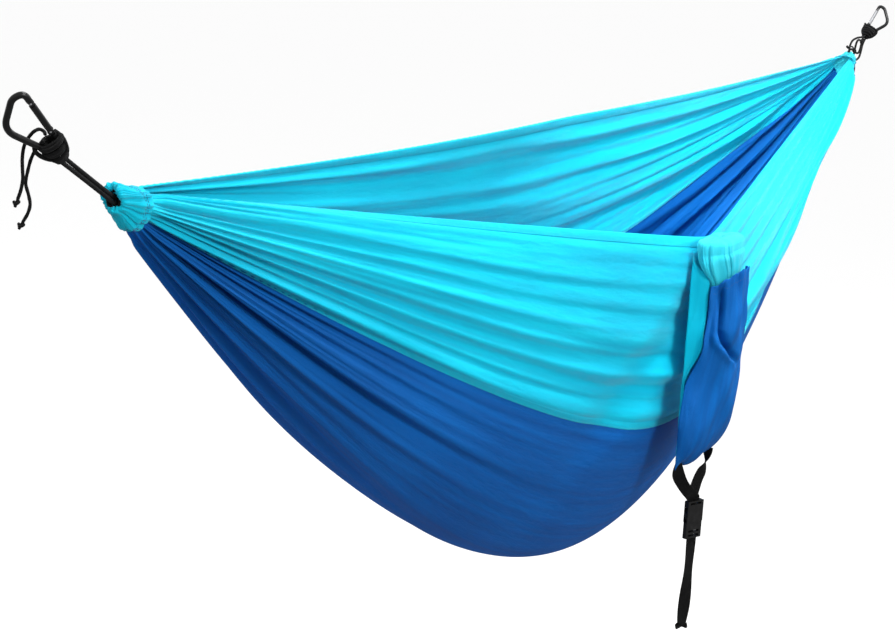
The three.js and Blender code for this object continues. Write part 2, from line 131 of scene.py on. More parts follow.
def loft(name, bodies, material, grains=None):
    """One object of one or more closed bodies, each a stack of rings."""
    points, faces, grain, start = [], [], [], 0
    for k, rings in enumerate(bodies):
        part, part_faces = loft_parts(rings, start)
        points.append(part)
        faces += part_faces
        start += len(part)
        if grains is not None:
            grain.append(grains[k].reshape(-1, grains[k].shape[-1]))
    return make_object(
        name, np.vstack(points), faces, material, np.vstack(grain) if grains is not None else None
    )


def distances(points):
    """How far along a polyline each of its points is."""
    return np.concatenate([[0], np.cumsum(np.linalg.norm(np.diff(points, axis=0), axis=1))])


def points_at(at, run, points):
    """The points at distances at along a polyline, whose own points are at distances run."""
    return np.stack([np.interp(at, run, points[:, k]) for k in range(3)], 1)


def angles(around):
    return np.arange(around) * 2 * math.pi / around


def spaced(points, step=None, count=None):
    """Points at equal distances along a dense polyline."""
    points = np.asarray(points, float)
    run = distances(points)
    count = count or max(2, int(math.ceil(run[-1] / step)) + 1)
    return points_at(np.linspace(0, run[-1], count), run, points)


def curve_through(points, step):
    """A centripetal Catmull-Rom curve through points, as points at equal distances."""
    p = np.asarray(points, float)
    p = np.vstack([2 * p[0] - p[1], p, 2 * p[-1] - p[-2]])
    dense = []
    for a, b, c, d in zip(p, p[1:], p[2:], p[3:]):
        knots = np.cumsum([0] + [np.linalg.norm(y - x) ** 0.5 for x, y in ((a, b), (b, c), (c, d))])
        t0, t1, t2, t3 = knots
        t = np.linspace(t1, t2, 24, endpoint=False)[:, None]
        a1 = (t1 - t) / (t1 - t0) * a + (t - t0) / (t1 - t0) * b
        a2 = (t2 - t) / (t2 - t1) * b + (t - t1) / (t2 - t1) * c
        a3 = (t3 - t) / (t3 - t2) * c + (t - t2) / (t3 - t2) * d
        b1 = (t2 - t) / (t2 - t0) * a1 + (t - t0) / (t2 - t0) * a2
        b2 = (t3 - t) / (t3 - t1) * a2 + (t - t1) / (t3 - t1) * a3
        dense.append((t2 - t) / (t2 - t1) * b1 + (t - t1) / (t2 - t1) * b2)
    return spaced(np.vstack(dense + [p[-2:-1]]), step)


def frames_along(path):
    """Tangents and two crosswise directions along a path, which turn as little as they can."""
    tangents = unit(np.gradient(path, axis=0))
    side = np.zeros_like(path)
    upward = np.array([0.0, 0.0, 1.0])
    start = upward - tangents[0] * (upward @ tangents[0])
    if np.linalg.norm(start) < 1e-3:
        start = np.cross(tangents[0], (1.0, 0.0, 0.0))
    side[0] = start / np.linalg.norm(start)
    for i in range(1, len(path)):
        moved = side[i - 1] - tangents[i] * (side[i - 1] @ tangents[i])
        side[i] = moved / np.linalg.norm(moved)
    return tangents, side, np.cross(tangents, side)


def tube_rings(path, radius, around=20):
    """Rings round a path. radius is a number, or an array of rings by points round."""
    _, side, other = frames_along(path)
    turn = angles(around)
    radius = np.broadcast_to(np.asarray(radius, float), (len(path), around))[..., None]
    spoke = side[:, None] * np.cos(turn)[:, None] + other[:, None] * np.sin(turn)[:, None]
    return path[:, None] + spoke * radius


def rounded_ends(path, radius):
    """The path grown by a rounded tip at both ends, with the radius at each of its points."""
    turn = np.linspace(0, math.pi / 2, 5)[:-1]
    ahead = unit(path[0] - path[1])
    behind = unit(path[-1] - path[-2])
    front = [path[0] + ahead * radius * 0.5 * math.cos(t) for t in turn]
    back = [path[-1] + behind * radius * 0.5 * math.cos(t) for t in turn[::-1]]
    sizes = [radius * max(0.12, math.sin(t)) for t in turn]
    line = np.vstack([front, path, back])
    return line, np.concatenate([sizes, np.full(len(path), radius), sizes[::-1]])


def braid_rings(path, diameter):
    """Rings of a braided cord: two sets of strands that wind opposite ways stand proud in turn."""
    around, carriers, pitch = 16, 4, 2.6
    line, sizes = rounded_ends(path, diameter / 2)
    run = distances(line)[:, None]
    turn = angles(around)
    wind = 2 * math.pi * run / (pitch * diameter)
    weave = np.maximum(np.cos(carriers * turn + wind), np.cos(carriers * turn - wind))
    rings = tube_rings(line, sizes[:, None] * (0.955 + 0.045 * weave), around)
    return rings, np.stack(np.broadcast_arrays(run, turn * diameter / 2, 0.0 * run), -1)


def braided(name, paths, diameter, material, step=0.0009):
    parts = [braid_rings(spaced(p, step), diameter) for p in paths]
    return loft(name, [p[0] for p in parts], material, [p[1] for p in parts])


def fitted(piece, body, node):
    """The piece, riding on its body, in place of its CAD node."""
    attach(piece, body)
    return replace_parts(piece, node)


def smoothstep(x, low, high):
    t = np.clip((x - low) / (high - low), 0, 1)
    return t * t * (3 - 2 * t)


def hump(x, width):
    return np.exp(-((x / width) ** 2))


def between(x, low, risen, falling, high):
    """A window: up from low to risen, and down again from falling to high."""
    return smoothstep(x, low, risen) * (1 - smoothstep(x, falling, high))


def wander(random, low, high, count=5):
    """A smooth function of one number that wanders between about -1 and 1."""
    rates = random.uniform(low, high, count)
    starts = random.uniform(0, 2 * math.pi, count)
    weights = random.uniform(0.5, 1, count)

    def value(x):
        x = np.asarray(x, float)
        total = sum(w * np.sin(r * x + a) for r, a, w in zip(rates, starts, weights))
        return total / weights.sum() * 1.6

    return value


def modified(obj, kind, **settings):
    change = obj.modifiers.new(kind.lower(), kind)
    for key, value in settings.items():
        setattr(change, key, value)
    return obj


def cut_or_joined(obj, other, operation):
    """obj with other cut away or added, as its own mesh; other is removed."""
    modified(obj, "BOOLEAN", operation=operation, object=other, solver="EXACT")
    bpy.context.view_layer.update()
    made = bpy.data.meshes.new_from_object(
        obj.evaluated_get(bpy.context.evaluated_depsgraph_get())
    )
    old = obj.data
    obj.modifiers.clear()
    obj.data = made
    bpy.data.meshes.remove(old)
    bpy.data.objects.remove(other)
    return obj


# ---- Materials ----
class Nodes:
    """A material's node tree, with short calls for the nodes that these materials use."""

    def __init__(self, name):
        self.material = bpy.data.materials.new(name)
        self.material.use_nodes = True
        self.tree = self.material.node_tree
        self.shader = self.tree.nodes["Principled BSDF"]
        self.output = self.tree.nodes["Material Output"]

    def node(self, kind, **inputs):
        made = self.tree.nodes.new(kind)
        for key, value in inputs.items():
            self.feed(made.inputs[key.replace("_", " ")], value)
        return made

    def feed(self, socket, value):
        if isinstance(value, bpy.types.NodeSocket):
            self.tree.links.new(value, socket)
        else:
            socket.default_value = value

    def set(self, **inputs):
        for key, value in inputs.items():
            self.feed(self.shader.inputs[key.replace("_", " ")], value)

    def math(self, operation, a, b=0.0, c=0.0):
        made = self.tree.nodes.new("ShaderNodeMath")
        made.operation = operation
        for socket, value in zip(made.inputs, (a, b, c)):
            self.feed(socket, value)
        return made.outputs[0]

    def mix(self, share, a, b):
        made = self.tree.nodes.new("ShaderNodeMix")
        made.data_type = "RGBA"
        self.feed(made.inputs["Factor"], share)
        self.feed(made.inputs["A"], a)
        self.feed(made.inputs["B"], b)
        return made.outputs["Result"]

    def scaled(self, vector, scale):
        made = self.node("ShaderNodeMapping", Vector=vector)
        made.inputs["Scale"].default_value = scale
        return made.outputs["Vector"]

    def grain(self, along=1.0, across=1.0):
        """The place in the cloth, scaled along and across."""
        source = self.tree.nodes.new("ShaderNodeAttribute")
        source.attribute_name = "grain"
        return self.scaled(source.outputs["Vector"], (along, across, 1))

    def place(self, scale=1.0):
        """The place on the object, scaled the same in every direction."""
        source = self.tree.nodes.new("ShaderNodeTexCoord")
        return self.scaled(source.outputs["Object"], (scale, scale, scale))

    def noise(self, vector, scale=1.0, detail=3.0, rough=0.5):
        made = self.node(
            "ShaderNodeTexNoise", Vector=vector, Scale=scale, Detail=detail, Roughness=rough
        )
        return made.outputs["Fac"]

    def ramp(self, value, low, high):
        made = self.tree.nodes.new("ShaderNodeMapRange")
        for key, number in (("Value", value), ("From Min", low), ("From Max", high)):
            self.feed(made.inputs[key], number)
        return made.outputs["Result"]

    def waves(self, vector, axis):
        """The sine of 2 pi times one coordinate of vector."""
        split = self.node("ShaderNodeSeparateXYZ", Vector=vector)
        return self.math("SINE", self.math("MULTIPLY", split.outputs[axis], 2 * math.pi))

    def bump(self, height, distance, strength=1.0, under=None):
        made = self.node(
            "ShaderNodeBump", Height=height, Distance=distance, Strength=strength
        )
        if under is not None:
            self.tree.links.new(under, made.inputs["Normal"])
        return made.outputs["Normal"]


def nylon(name, light, dark, through, share, sheen):
    """Thin woven nylon: crinkled, with streaks along the warp, some light coming through."""
    n = Nodes(name)
    streaks = n.noise(n.grain(2.2, 75), detail=4)
    clouds = n.noise(n.place(5), detail=3)
    weave = n.math(
        "MULTIPLY", n.waves(n.grain(1400, 1400), 0), n.waves(n.grain(1400, 1400), 1)
    )
    tone = n.math("ADD", n.math("MULTIPLY", streaks, 0.65), n.math("MULTIPLY", clouds, 0.35))
    colour = n.mix(n.ramp(tone, 0.33, 0.67), dark, light)
    crinkle = n.noise(n.grain(45, 90), detail=5, rough=0.6)
    creases = n.noise(n.grain(7, 32), detail=3, rough=0.55)
    normal = n.bump(weave, 0.00006)
    normal = n.bump(crinkle, 0.0009, 0.55, normal)
    normal = n.bump(creases, 0.006, 0.6, normal)
    n.set(Base_Color=colour, Normal=normal, Roughness=n.ramp(streaks, -1.9, 1.6))
    n.set(Sheen_Weight=sheen, Sheen_Roughness=0.25, Specular_IOR_Level=0.16)
    glow = n.node("ShaderNodeBsdfTranslucent", Color=n.mix(0.5, colour, through))
    n.tree.links.new(normal, glow.inputs["Normal"])
    both = n.tree.nodes.new("ShaderNodeMixShader")
    both.inputs["Fac"].default_value = share
    n.tree.links.new(n.shader.outputs[0], both.inputs[1])
    n.tree.links.new(glow.outputs[0], both.inputs[2])
    n.tree.links.new(both.outputs[0], n.output.inputs["Surface"])
    return n.material


def rope_black(name, ribs, lift):
    """Black braided polyester: a diamond of fine yarns, matt, a little dusty here and there."""
    n = Nodes(name)
    one = n.waves(n.grain(ribs, ribs), 0)
    split = n.node("ShaderNodeSeparateXYZ", Vector=n.grain(ribs, ribs * 1.3))
    diagonal = n.math("ADD", split.outputs[0], split.outputs[1])
    other = n.math("SUBTRACT", split.outputs[0], split.outputs[1])
    two = n.math("SINE", n.math("MULTIPLY", diagonal, 2 * math.pi))
    three = n.math("SINE", n.math("MULTIPLY", other, 2 * math.pi))
    yarns = n.math("ADD", n.math("MAXIMUM", two, three), n.math("MULTIPLY", one, 0.15))
    dust = n.noise(n.place(160), detail=4)
    colour = n.mix(n.ramp(dust, 0.35, 0.75), (0.0018, 0.0018, 0.002, 1), (0.006, 0.006, 0.0065, 1))
    n.set(Base_Color=colour, Normal=n.bump(yarns, lift, 0.8))
    n.set(Roughness=0.75, Sheen_Weight=0.03, Sheen_Roughness=0.5, Specular_IOR_Level=0.1)
    return n.material


def webbing_black(name):
    """Black polypropylene webbing: ribs across its length and a flatter selvedge."""
    n = Nodes(name)
    ribs = n.waves(n.grain(620, 620), 0)
    yarns = n.waves(n.grain(900, 900), 1)
    fuzz = n.noise(n.place(300), detail=3)
    normal = n.bump(ribs, 0.0004, 0.9)
    normal = n.bump(yarns, 0.00025, 0.7, normal)
    # Painted shade and painted highlight: the colour follows the rib height, darker in the grooves between the
    # ribs and lighter on their crests.
    colour = n.mix(n.ramp(ribs, -1, 1), (0.0015, 0.0015, 0.0015, 1), (0.006, 0.006, 0.006, 1))
    worn = (0.009, 0.009, 0.0095, 1)
    n.set(Base_Color=n.mix(n.ramp(fuzz, 0.4, 0.9), colour, worn), Normal=normal)
    n.set(Roughness=0.68, Sheen_Weight=0.0, Specular_IOR_Level=0.08)
    return n.material


def moulded_plastic(name):
    n = Nodes(name)
    pores = n.noise(n.place(1800), detail=2)
    scuffs = n.noise(n.place(90), detail=5, rough=0.7)
    colour = n.mix(n.ramp(scuffs, 0.45, 0.8), (0.003, 0.003, 0.0032, 1), (0.01, 0.01, 0.0105, 1))
    n.set(Base_Color=colour, Normal=n.bump(pores, 0.00008, 0.6))
    n.set(Roughness=n.ramp(scuffs, -0.6, 1.6), Specular_IOR_Level=0.2)
    return n.material


def coated_metal(name, base, worn, rough):
    """Satin coating on metal: faint orange peel, paler where handling has rubbed it."""
    n = Nodes(name)
    peel = n.noise(n.place(900), detail=2)
    rubbed = n.ramp(n.noise(n.place(70), detail=6, rough=0.7), 0.56, 0.74)
    n.set(Base_Color=n.mix(n.math("MULTIPLY", rubbed, 0.5), base, worn))
    n.set(Normal=n.bump(peel, 0.00005, 0.5), Roughness=n.ramp(rubbed, -1.4 * rough / 0.35, 3.2))
    n.set(Metallic=0.0, Specular_IOR_Level=0.25)
    return n.material


def bare_metal(name, colour, rough):
    n = Nodes(name)
    lines = n.noise(n.place(420), detail=4, rough=0.6)
    n.set(Base_Color=n.mix(n.ramp(lines, 0.3, 0.8), colour, (0.25, 0.25, 0.26, 1)))
    n.set(Normal=n.bump(lines, 0.00004, 0.5), Roughness=n.ramp(lines, -rough, 2.2), Metallic=1.0)
    return n.material


def thread(name, colour):
    n = Nodes(name)
    twist = n.noise(n.place(900), detail=2)
    n.set(Base_Color=n.mix(twist, colour, tuple(0.6 * c for c in colour[:3]) + (1,)))
    n.set(Roughness=0.6, Sheen_Weight=0.2)
    return n.material


# Each nylon: its light and dark tones, the light that comes through, its share, and the sheen.
CYAN = nylon(
    "cyan_nylon", (0.0, 0.66, 0.83, 1), (0.0, 0.48, 0.68, 1), (0.3, 0.93, 1, 1), 0.34, 0.16
)
PALE = nylon(
    "pale_nylon", (0.06, 0.68, 0.78, 1), (0.01, 0.5, 0.63, 1), (0.45, 0.97, 1, 1), 0.38, 0.1
)
BLUE = nylon(
    "blue_nylon", (0.0, 0.135, 0.47, 1), (0.0, 0.085, 0.33, 1), (0.0, 0.33, 0.95, 1), 0.28, 0.0
)
ROPE = rope_black("rope_black", 520, 0.0003)
CORD = rope_black("cord_black", 700, 0.0002)
WEB = webbing_black("webbing_black")
PLASTIC = moulded_plastic("buckle_plastic")
COATED = coated_metal("black_coating", (0.0025, 0.0025, 0.0028, 1), (0.012, 0.012, 0.013, 1), 0.35)
GREY_STEEL = bare_metal("grey_steel", (0.42, 0.43, 0.45, 1), 0.32)
STEEL = bare_metal("plain_steel", (0.6, 0.61, 0.63, 1), 0.28)
BLUE_THREAD = thread("blue_thread", (0.01, 0.09, 0.32, 1))
CYAN_THREAD = thread("cyan_thread", (0.05, 0.62, 0.8, 1))


# ---- The free cords: their routes are the CAD's, in metres ----
TAIL_D = 0.0035
TIE_D = 0.003
LEFT_TAIL_UPPER = [
    (44.8, 5.9, -37.1), (46.6, 8.4, -35.2), (43.6, 11.2, -32.9), (39, 13.8, -34.6),
    (36.4, 18.6, -41), (36.2, 23.2, -49), (35.9, 25, -60), (35.9, 24.8, -70),
    (36, 24.4, -80), (35.2, 26.1, -91), (33.9, 28.4, -99),
]  # fmt: skip
LEFT_TAIL_LOWER = [
    (49.8, 9.9, -47.9), (51.6, 12.4, -46.2), (50.6, 16, -48), (47.6, 19.6, -54),
    (45.4, 22.6, -62), (43.9, 25, -73), (43, 26.7, -85), (44.3, 24.3, -96),
    (44.9, 22.9, -105), (43.9, 24.8, -113.5), (41.9, 28.6, -121.5),
]  # fmt: skip
RIGHT_TAIL_TOP = [
    (1, -6.2, 3), (5, -7, 6), (7, -7, 13), (5.4, -6.4, 20), (1, -5.6, 25), (-6, -5, 26.6),
    (-15, -5, 26.4), (-24, -5, 26.4), (-32, -5, 26.6),
]  # fmt: skip
RIGHT_TAIL_SIDE = [
    (1, -5, -4.2), (4.4, -8, -5.4), (6.2, -11, -10), (6.2, -12, -16), (5.6, -12.2, -22),
    (5.2, -11.8, -31),
]  # fmt: skip


def mouth_of(node, side):
    """The middle of a gathered channel's mouth: the outer end of its CAD ring."""
    low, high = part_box(node)
    return np.array([low.x if side < 0 else high.x, (low.y + high.y) / 2, (low.z + high.z) / 2])


LEFT_MOUTH = mouth_of("left_gathered_channel", -1)
RIGHT_MOUTH = mouth_of("right_gathered_channel", 1)
MIDDLE = (LEFT_MOUTH + RIGHT_MOUTH) / 2
HALF_SPAN = (RIGHT_MOUTH - LEFT_MOUTH)[0] / 2


def stopper_knot(name, node, way):
    """An overhand knot at a cord's end: three fat lobes of cord round each other, and a stub."""
    low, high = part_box(node)
    centre = np.array((low + high) / 2)
    size = (high.x - low.x) / 2
    _, side, other = frames_along(np.array([centre, centre + way]))
    side, other = side[0], other[0]
    turn = np.linspace(0, 2 * math.pi, 120)
    wide = size * 0.52 * (1 + 0.45 * np.cos(1.5 * turn))
    path = (
        centre
        + np.outer(wide * np.cos(turn), side)
        + np.outer(wide * np.sin(turn), other)
        + np.outer(size * 0.55 * np.sin(1.5 * turn), way)
    )
    stub = np.array([centre - way * size * 0.9, centre + way * size * 1.25])
    made = braided(name, [path, spaced(stub, 0.001)], size * 0.9, CORD, step=0.0005)
    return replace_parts(made, node)


def free_tail(name, route, origin, diameter, body):
    points = np.array(route) * MM + origin
    path = curve_through(points, 0.0009)
    rings, grain = braid_rings(path, diameter)
    made = loft(f"{name}_cord", [rings], CORD, [grain])
    knot = stopper_knot(f"{name}_stopper", f"{name}_knot", unit(path[-1] - path[-3]))
    for piece in (made, knot):
        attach(piece, body)
    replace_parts(made, name)


for name, route, origin, diameter, body, lay in (
    ("left_upper_tail", LEFT_TAIL_UPPER, 0.0, TAIL_D, "left_carabiner", "hanging"),
    ("left_lower_tail", LEFT_TAIL_LOWER, 0.0, TAIL_D, "left_carabiner", "hanging"),
    ("right_top_tail", RIGHT_TAIL_TOP, RIGHT_MOUTH, TIE_D, "hammock", "loose"),
    ("right_side_tail", RIGHT_TAIL_SIDE, RIGHT_MOUTH, TIE_D, "hammock", "hanging"),
):
    free_tail(name, route, origin, diameter, body)


# ---- The cloth: the CAD's surface, with the folds that its gathered ends raise ----
# Halfway along, the cloth hangs as a cubic curve: its two hems (y, z), and its two handles.
NEAR_HEM, FAR_HEM = (-0.167, -0.185), (0.07, -0.028)
BELLY_NEAR, BELLY_FAR = (-0.181, -0.918), (0.37, -0.918)
SEAM = 0.573  # where the seams are: 0 is the middle of the cloth's width, 1 a hem
DEPTH_SHAPE = (1.03, 1.35, 1.75)
WIDTH_SHAPE = (0.97, 1.76, 0.97)
HEM_ROUND, BELLY_ROUND = 0.022, 0.27
CUT_HALF = 0.685  # half the width that the cloth was cut to
BUNDLE_SIDE, BUNDLE_LOW, BUNDLE_HIGH = 0.016, 0.004, 0.007
BUNDLE_TURNS = np.radians([-160, -12, 62, 160])


def hanging_curve():
    t = np.linspace(0, 1, 801)[:, None]
    hems = [np.array(p) for p in (NEAR_HEM, BELLY_NEAR, BELLY_FAR, FAR_HEM)]
    weights = ((1 - t) ** 3, 3 * t * (1 - t) ** 2, 3 * t * t * (1 - t), t**3)
    curve = sum(w * p for w, p in zip(weights, hems))
    run = distances(curve)
    return run / run[-1], curve


HANG_RUN, HANG_CURVE = hanging_curve()


def fullness(s, power, rounding):
    height = lambda x: (x * x + rounding * rounding) ** (power / 2)
    return 1 - (height(s) - height(0.0)) / (height(1.0) - height(0.0))


def shape_at(shape, v):
    edge = np.where(v < 0, shape[0], shape[2])
    return shape[1] + (edge - shape[1]) * v * v


def bare_cloth(s, v):
    """The cloth without its folds: s from -1 at the left end to 1, v from -1 at the near hem."""
    s, v = np.broadcast_arrays(np.asarray(s, float), np.asarray(v, float))
    at = np.clip((v + 1) / 2, 0, 1)
    hang_y = np.interp(at, HANG_RUN, HANG_CURVE[:, 0])
    hang_z = np.interp(at, HANG_RUN, HANG_CURVE[:, 1])
    rounding = HEM_ROUND + (BELLY_ROUND - HEM_ROUND) * (1 - v * v)
    wide = fullness(s, shape_at(WIDTH_SHAPE, v), rounding)
    deep = fullness(s, shape_at(DEPTH_SHAPE, v), rounding)
    turn = np.interp(v, (-1, -SEAM, SEAM, 1), BUNDLE_TURNS)
    tall = np.where(np.cos(turn) > 0, BUNDLE_LOW, BUNDLE_HIGH)
    y = hang_y * wide + BUNDLE_SIDE * np.sin(turn) * (1 - wide)
    z = hang_z * deep - tall * np.cos(turn) * (1 - deep)
    return np.stack([HALF_SPAN * s, y, z], -1) + MIDDLE


def cloth_frame(s, v):
    """Where the bare cloth is, its inward normal, and how wide a unit of v is there."""
    step = 1e-3
    along = bare_cloth(s + step, v) - bare_cloth(s - step, v)
    across = (bare_cloth(s, v + step) - bare_cloth(s, v - step)) / (2 * step)
    return bare_cloth(s, v), unit(np.cross(along, across)), np.linalg.norm(across, axis=-1)


FOLDS = []
fold_random = np.random.default_rng(11)
# Folds in a unit of v, how far they reach from an end in the belly and in the side panels, share.
for numbers in (
    (2.6, 1.0, 3.0, 0.26),
    (5.5, 0.86, 2.8, 0.44),
    (10.5, 0.70, 2.3, 0.60),
    (19.0, 0.54, 1.6, 0.62),
    (33.0, 0.40, 0.6, 0.62),
):
    for end in (-1, 1):
        fold = dict(zip(("rate", "belly_reach", "side_reach", "share"), numbers), end=end)
        fold["phase"] = wander(fold_random, 2, 9)
        fold["strength"] = wander(fold_random, 5, 22)
        fold["drift"] = wander(fold_random, 1, 4)
        FOLDS.append(fold)


CREASE_DEEP = 0.012  # the soft crease of the near panel, aslant beside the sack


def fabric(s, v):
    """The cloth with its folds, and its inward normal before them."""
    s, v = np.broadcast_arrays(np.asarray(s, float), np.asarray(v, float))
    point, inward, width = cloth_frame(s, v)
    taut = smoothstep(np.abs(v), 0.5, 0.64)
    least = 0.14 + 0.36 * taut
    spare = np.sqrt(np.clip(CUT_HALF / np.maximum(width, 1e-3) - 1, least**2, 9))
    raised = np.zeros_like(s)
    for fold in FOLDS:
        away = (1 - fold["end"] * s) * HALF_SPAN
        reach = fold["belly_reach"] + (fold["side_reach"] - fold["belly_reach"]) * taut
        half = 0.5 - 0.5 * np.tanh(-fold["end"] * s * 2.2)
        envelope = hump(away, reach) * half
        wave = 2 * math.pi * fold["rate"] * v + 2.4 * fold["phase"](v) + 0.9 * fold["drift"](s * 3)
        pleat = np.sin(wave + 0.75 * np.sin(wave))
        strength = np.clip(0.6 + 0.75 * fold["strength"](v + 0.04 * s), 0.05, 1.6)
        height = np.minimum(fold["share"] * spare, 1.3) * width / (math.pi * fold["rate"])
        raised += height * envelope * strength * pleat
    below = v + 0.87 + 1.35 * s
    dent = between(below, -0.13, 0.0, 0.0, 0.13)
    raised += CREASE_DEEP * dent * between(s, -0.32, -0.16, -0.02, 0.05)
    slack = 1 - 0.75 * hump(1 - np.abs(v), 0.05)
    bound = 1 - 0.85 * smoothstep(np.abs(s), 0.95, 0.973)
    return point + inward * (raised * slack * bound)[..., None], inward


def along_rows(count):
    """Values of s from one end to the other, closer together near both ends."""
    t = np.linspace(-1, 1, count)
    return t * (1.0 + 0.42 * (1 - np.abs(t))) * CLOTH_END


channel_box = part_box("left_gathered_channel")
CHANNEL_LENGTH = channel_box[1].x - channel_box[0].x
CLOTH_END = 1 - (CHANNEL_LENGTH - 0.012) / HALF_SPAN


def cloth_grain(s, v):
    return np.stack(np.broadcast_arrays(s * HALF_SPAN, v * CUT_HALF), -1)


PANEL_ROWS, BAND_ROWS, LINE_POINTS = 330, 420, 1400


def cloth_panel(name, v_range, columns, material):
    s = along_rows(PANEL_ROWS)[:, None]
    v = np.linspace(*v_range, columns)[None]
    points, _ = fabric(s, v)
    made = make_object(
        f"{name}_cloth", points, grid_faces(PANEL_ROWS, columns), material, cloth_grain(s, v)
    )
    modified(made, "SOLIDIFY", thickness=0.0005, offset=0)
    return fitted(made, "hammock", name)


def band(name, v_middle, half_width, lift):
    """A flat closed band that lies on the cloth along a line of constant v, a little puckered."""
    s = along_rows(BAND_ROWS)[:, None]
    reach = half_width / CUT_HALF
    lower = [(-1, -0.6), (-0.8, -1), (0.8, -1), (1, -0.6)]
    profile = lower + [(across, -out) for across, out in reversed(lower)]
    v = v_middle + np.array([p[0] for p in profile])[None] * reach
    outside = np.array([p[1] for p in profile])[None]
    edge = np.clip(np.abs(v), 0, 1)
    points, inward = fabric(s, np.sign(v) * edge)
    beyond = np.sign(v) * np.maximum(np.abs(v) - 1, 0) * CUT_HALF
    step = 1e-3
    across = unit(bare_cloth(s, v_middle + step) - bare_cloth(s, v_middle - step))
    pucker = 0.00035 * np.sin(s * HALF_SPAN * 420 + 3 * np.sin(s * HALF_SPAN * 37))
    points = (
        points
        + across * beyond[..., None]
        - inward * (outside * lift + pucker)[..., None]
    )
    grain = cloth_grain(s, np.broadcast_to(v, (BAND_ROWS, len(profile))))
    made = loft(name, [points], CYAN, [grain])
    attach(made, "hammock")
    return made


def stitches(
    name, lines, outside, material, pitch=0.0042, length=0.003, thick=0.00042, body="hammock"
):
    """Rows of stitches: each one a short lozenge of thread on the cloth, along its line."""
    points, faces = [], []
    for line, normals in lines:
        run = distances(line)
        at = np.arange(pitch, run[-1] - pitch, pitch)
        centre = points_at(at, run, line)
        out = unit(points_at(at, run, normals))
        along = unit(points_at(at + 0.001, run, line) - centre)
        side = unit(np.cross(along, out))
        centre = centre + out * outside
        corners = [
            centre - along * length / 2 - out * thick,
            centre + side * thick,
            centre + out * thick,
            centre - side * thick,
            centre - out * thick,
            centre + along * length / 2 - out * thick,
        ]
        start = sum(len(p) for p in points)
        points.append(np.stack(corners, 1).reshape(-1, 3))
        lozenge = [
            (0, 2, 1), (0, 3, 2), (0, 4, 3), (0, 1, 4), (5, 1, 2), (5, 2, 3), (5, 3, 4), (5, 4, 1),
        ]  # fmt: skip
        for k in range(len(at)):
            faces += [tuple(start + 6 * k + c for c in face) for face in lozenge]
    made = make_object(name, np.vstack(points), faces, material)
    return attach(made, body)


def cloth_line(v):
    points, inward = fabric(along_rows(LINE_POINTS), v)
    return points, -inward


SEAM_HALF, HEM_HALF = 0.0055, 0.0075
SEAM_LIFT, HEM_LIFT, STITCH_LIFT = 0.0009, 0.0012, 0.0011
near_panel = cloth_panel("near_side_panel", (-1, -SEAM), 76, CYAN)
centre_panel = cloth_panel("centre_panel", (-SEAM, SEAM), 260, BLUE)
far_panel = cloth_panel("far_side_panel", (SEAM, 1), 76, CYAN)
hem_middle = 1 - HEM_HALF * 0.93 / CUT_HALF
near_hem = band("near_hem", -hem_middle, HEM_HALF, HEM_LIFT)
far_hem = band("far_hem", hem_middle, HEM_HALF, HEM_LIFT)
near_seam = band("near_seam", -SEAM, SEAM_HALF, SEAM_LIFT)
far_seam = band("far_seam", SEAM, SEAM_HALF, SEAM_LIFT)


def panel_stitches(side):
    """Two rows along a side's seam and one along its hem, each on both faces of the cloth."""
    rows = [(SEAM, offset, SEAM_HALF) for offset in (-0.6, 0.6)]
    lines = []
    for middle, offset, half in rows + [(hem_middle, -0.62 * side, HEM_HALF)]:
        line, out = cloth_line(side * middle + offset * half / CUT_HALF)
        lines += [(line, out), (line, -out)]
    name = "far_stitches" if side > 0 else "near_stitches"
    return stitches(name, lines, STITCH_LIFT, CYAN_THREAD)


near_stitches, far_stitches = panel_stitches(-1), panel_stitches(1)


# ---- The end channels: the cloth's ends folded over the rope, sewn and drawn up ----
def end_channel(name, side, mouth, material, seed):
    """A gathered sleeve: it rolls in at its mouth, and its pleats run on into the panels."""
    random = np.random.default_rng(seed)
    around = 180
    turn = angles(around)
    pleat_phase, pleat_size, lean = (wander(random, 2, 5) for _ in range(3))
    # How far in from the mouth, the size there, and how much of the pleats.
    stations = [
        (0.026, 0.30, 0.2), (0.012, 0.34, 0.4), (0.003, 0.42, 0.8), (-0.0012, 0.6, 1.0),
        (-0.0022, 0.8, 1.1), (-0.001, 0.95, 1.1), (0.0015, 1.02, 1.0), (0.005, 1.0, 1.0),
        (0.010, 0.98, 0.95), (0.016, 0.97, 0.9), (0.021, 1.0, 0.9), (0.0245, 0.965, 1.0),
        (0.026, 0.955, 1.05), (0.0275, 0.985, 1.0), (0.031, 1.02, 0.9), (0.034, 1.03, 0.8),
        (0.0362, 1.0, 0.7), (0.0365, 0.93, 0.6), (0.033, 0.86, 0.5), (0.028, 0.7, 0.3),
    ]  # fmt: skip
    rings, grain = [], []
    for x, size, pleated in stations:
        spread = smoothstep(x, 0.0, 0.024)
        wide = (0.0145 + 0.0075 * spread) * size
        low = (0.0145 + 0.0205 * spread) * size
        high = (0.0165 - 0.0075 * spread) * size
        wave = 13 * turn + 2.2 * pleat_phase(turn * side) + 30 * x * lean(turn * 2)
        pleat = np.sin(wave + 0.6 * np.sin(wave)) * (0.75 + 0.45 * pleat_size(turn * 3))
        pleat += 0.5 * np.sin(2.1 * wave + 1)
        grow = 1 + (0.0013 * pleated * pleat) / 0.018
        y = wide * np.sin(turn) * grow
        z = np.where(np.cos(turn) > 0, low, high) * -np.cos(turn) * grow
        away = x + 0.0026 * pleated * np.sin(3 * turn + seed) + 0.0004 * np.sin(11 * turn)
        rings.append(np.stack([-side * away, y, z], -1) + mouth)
        grain.append(np.stack([np.full(around, x), turn * 0.11], -1))
    made = loft(f"{name}_sleeve", [np.array(rings)], material, [np.array(grain)])
    modified(made, "SUBSURF", levels=1, render_levels=1)
    return fitted(made, "hammock", name), rings


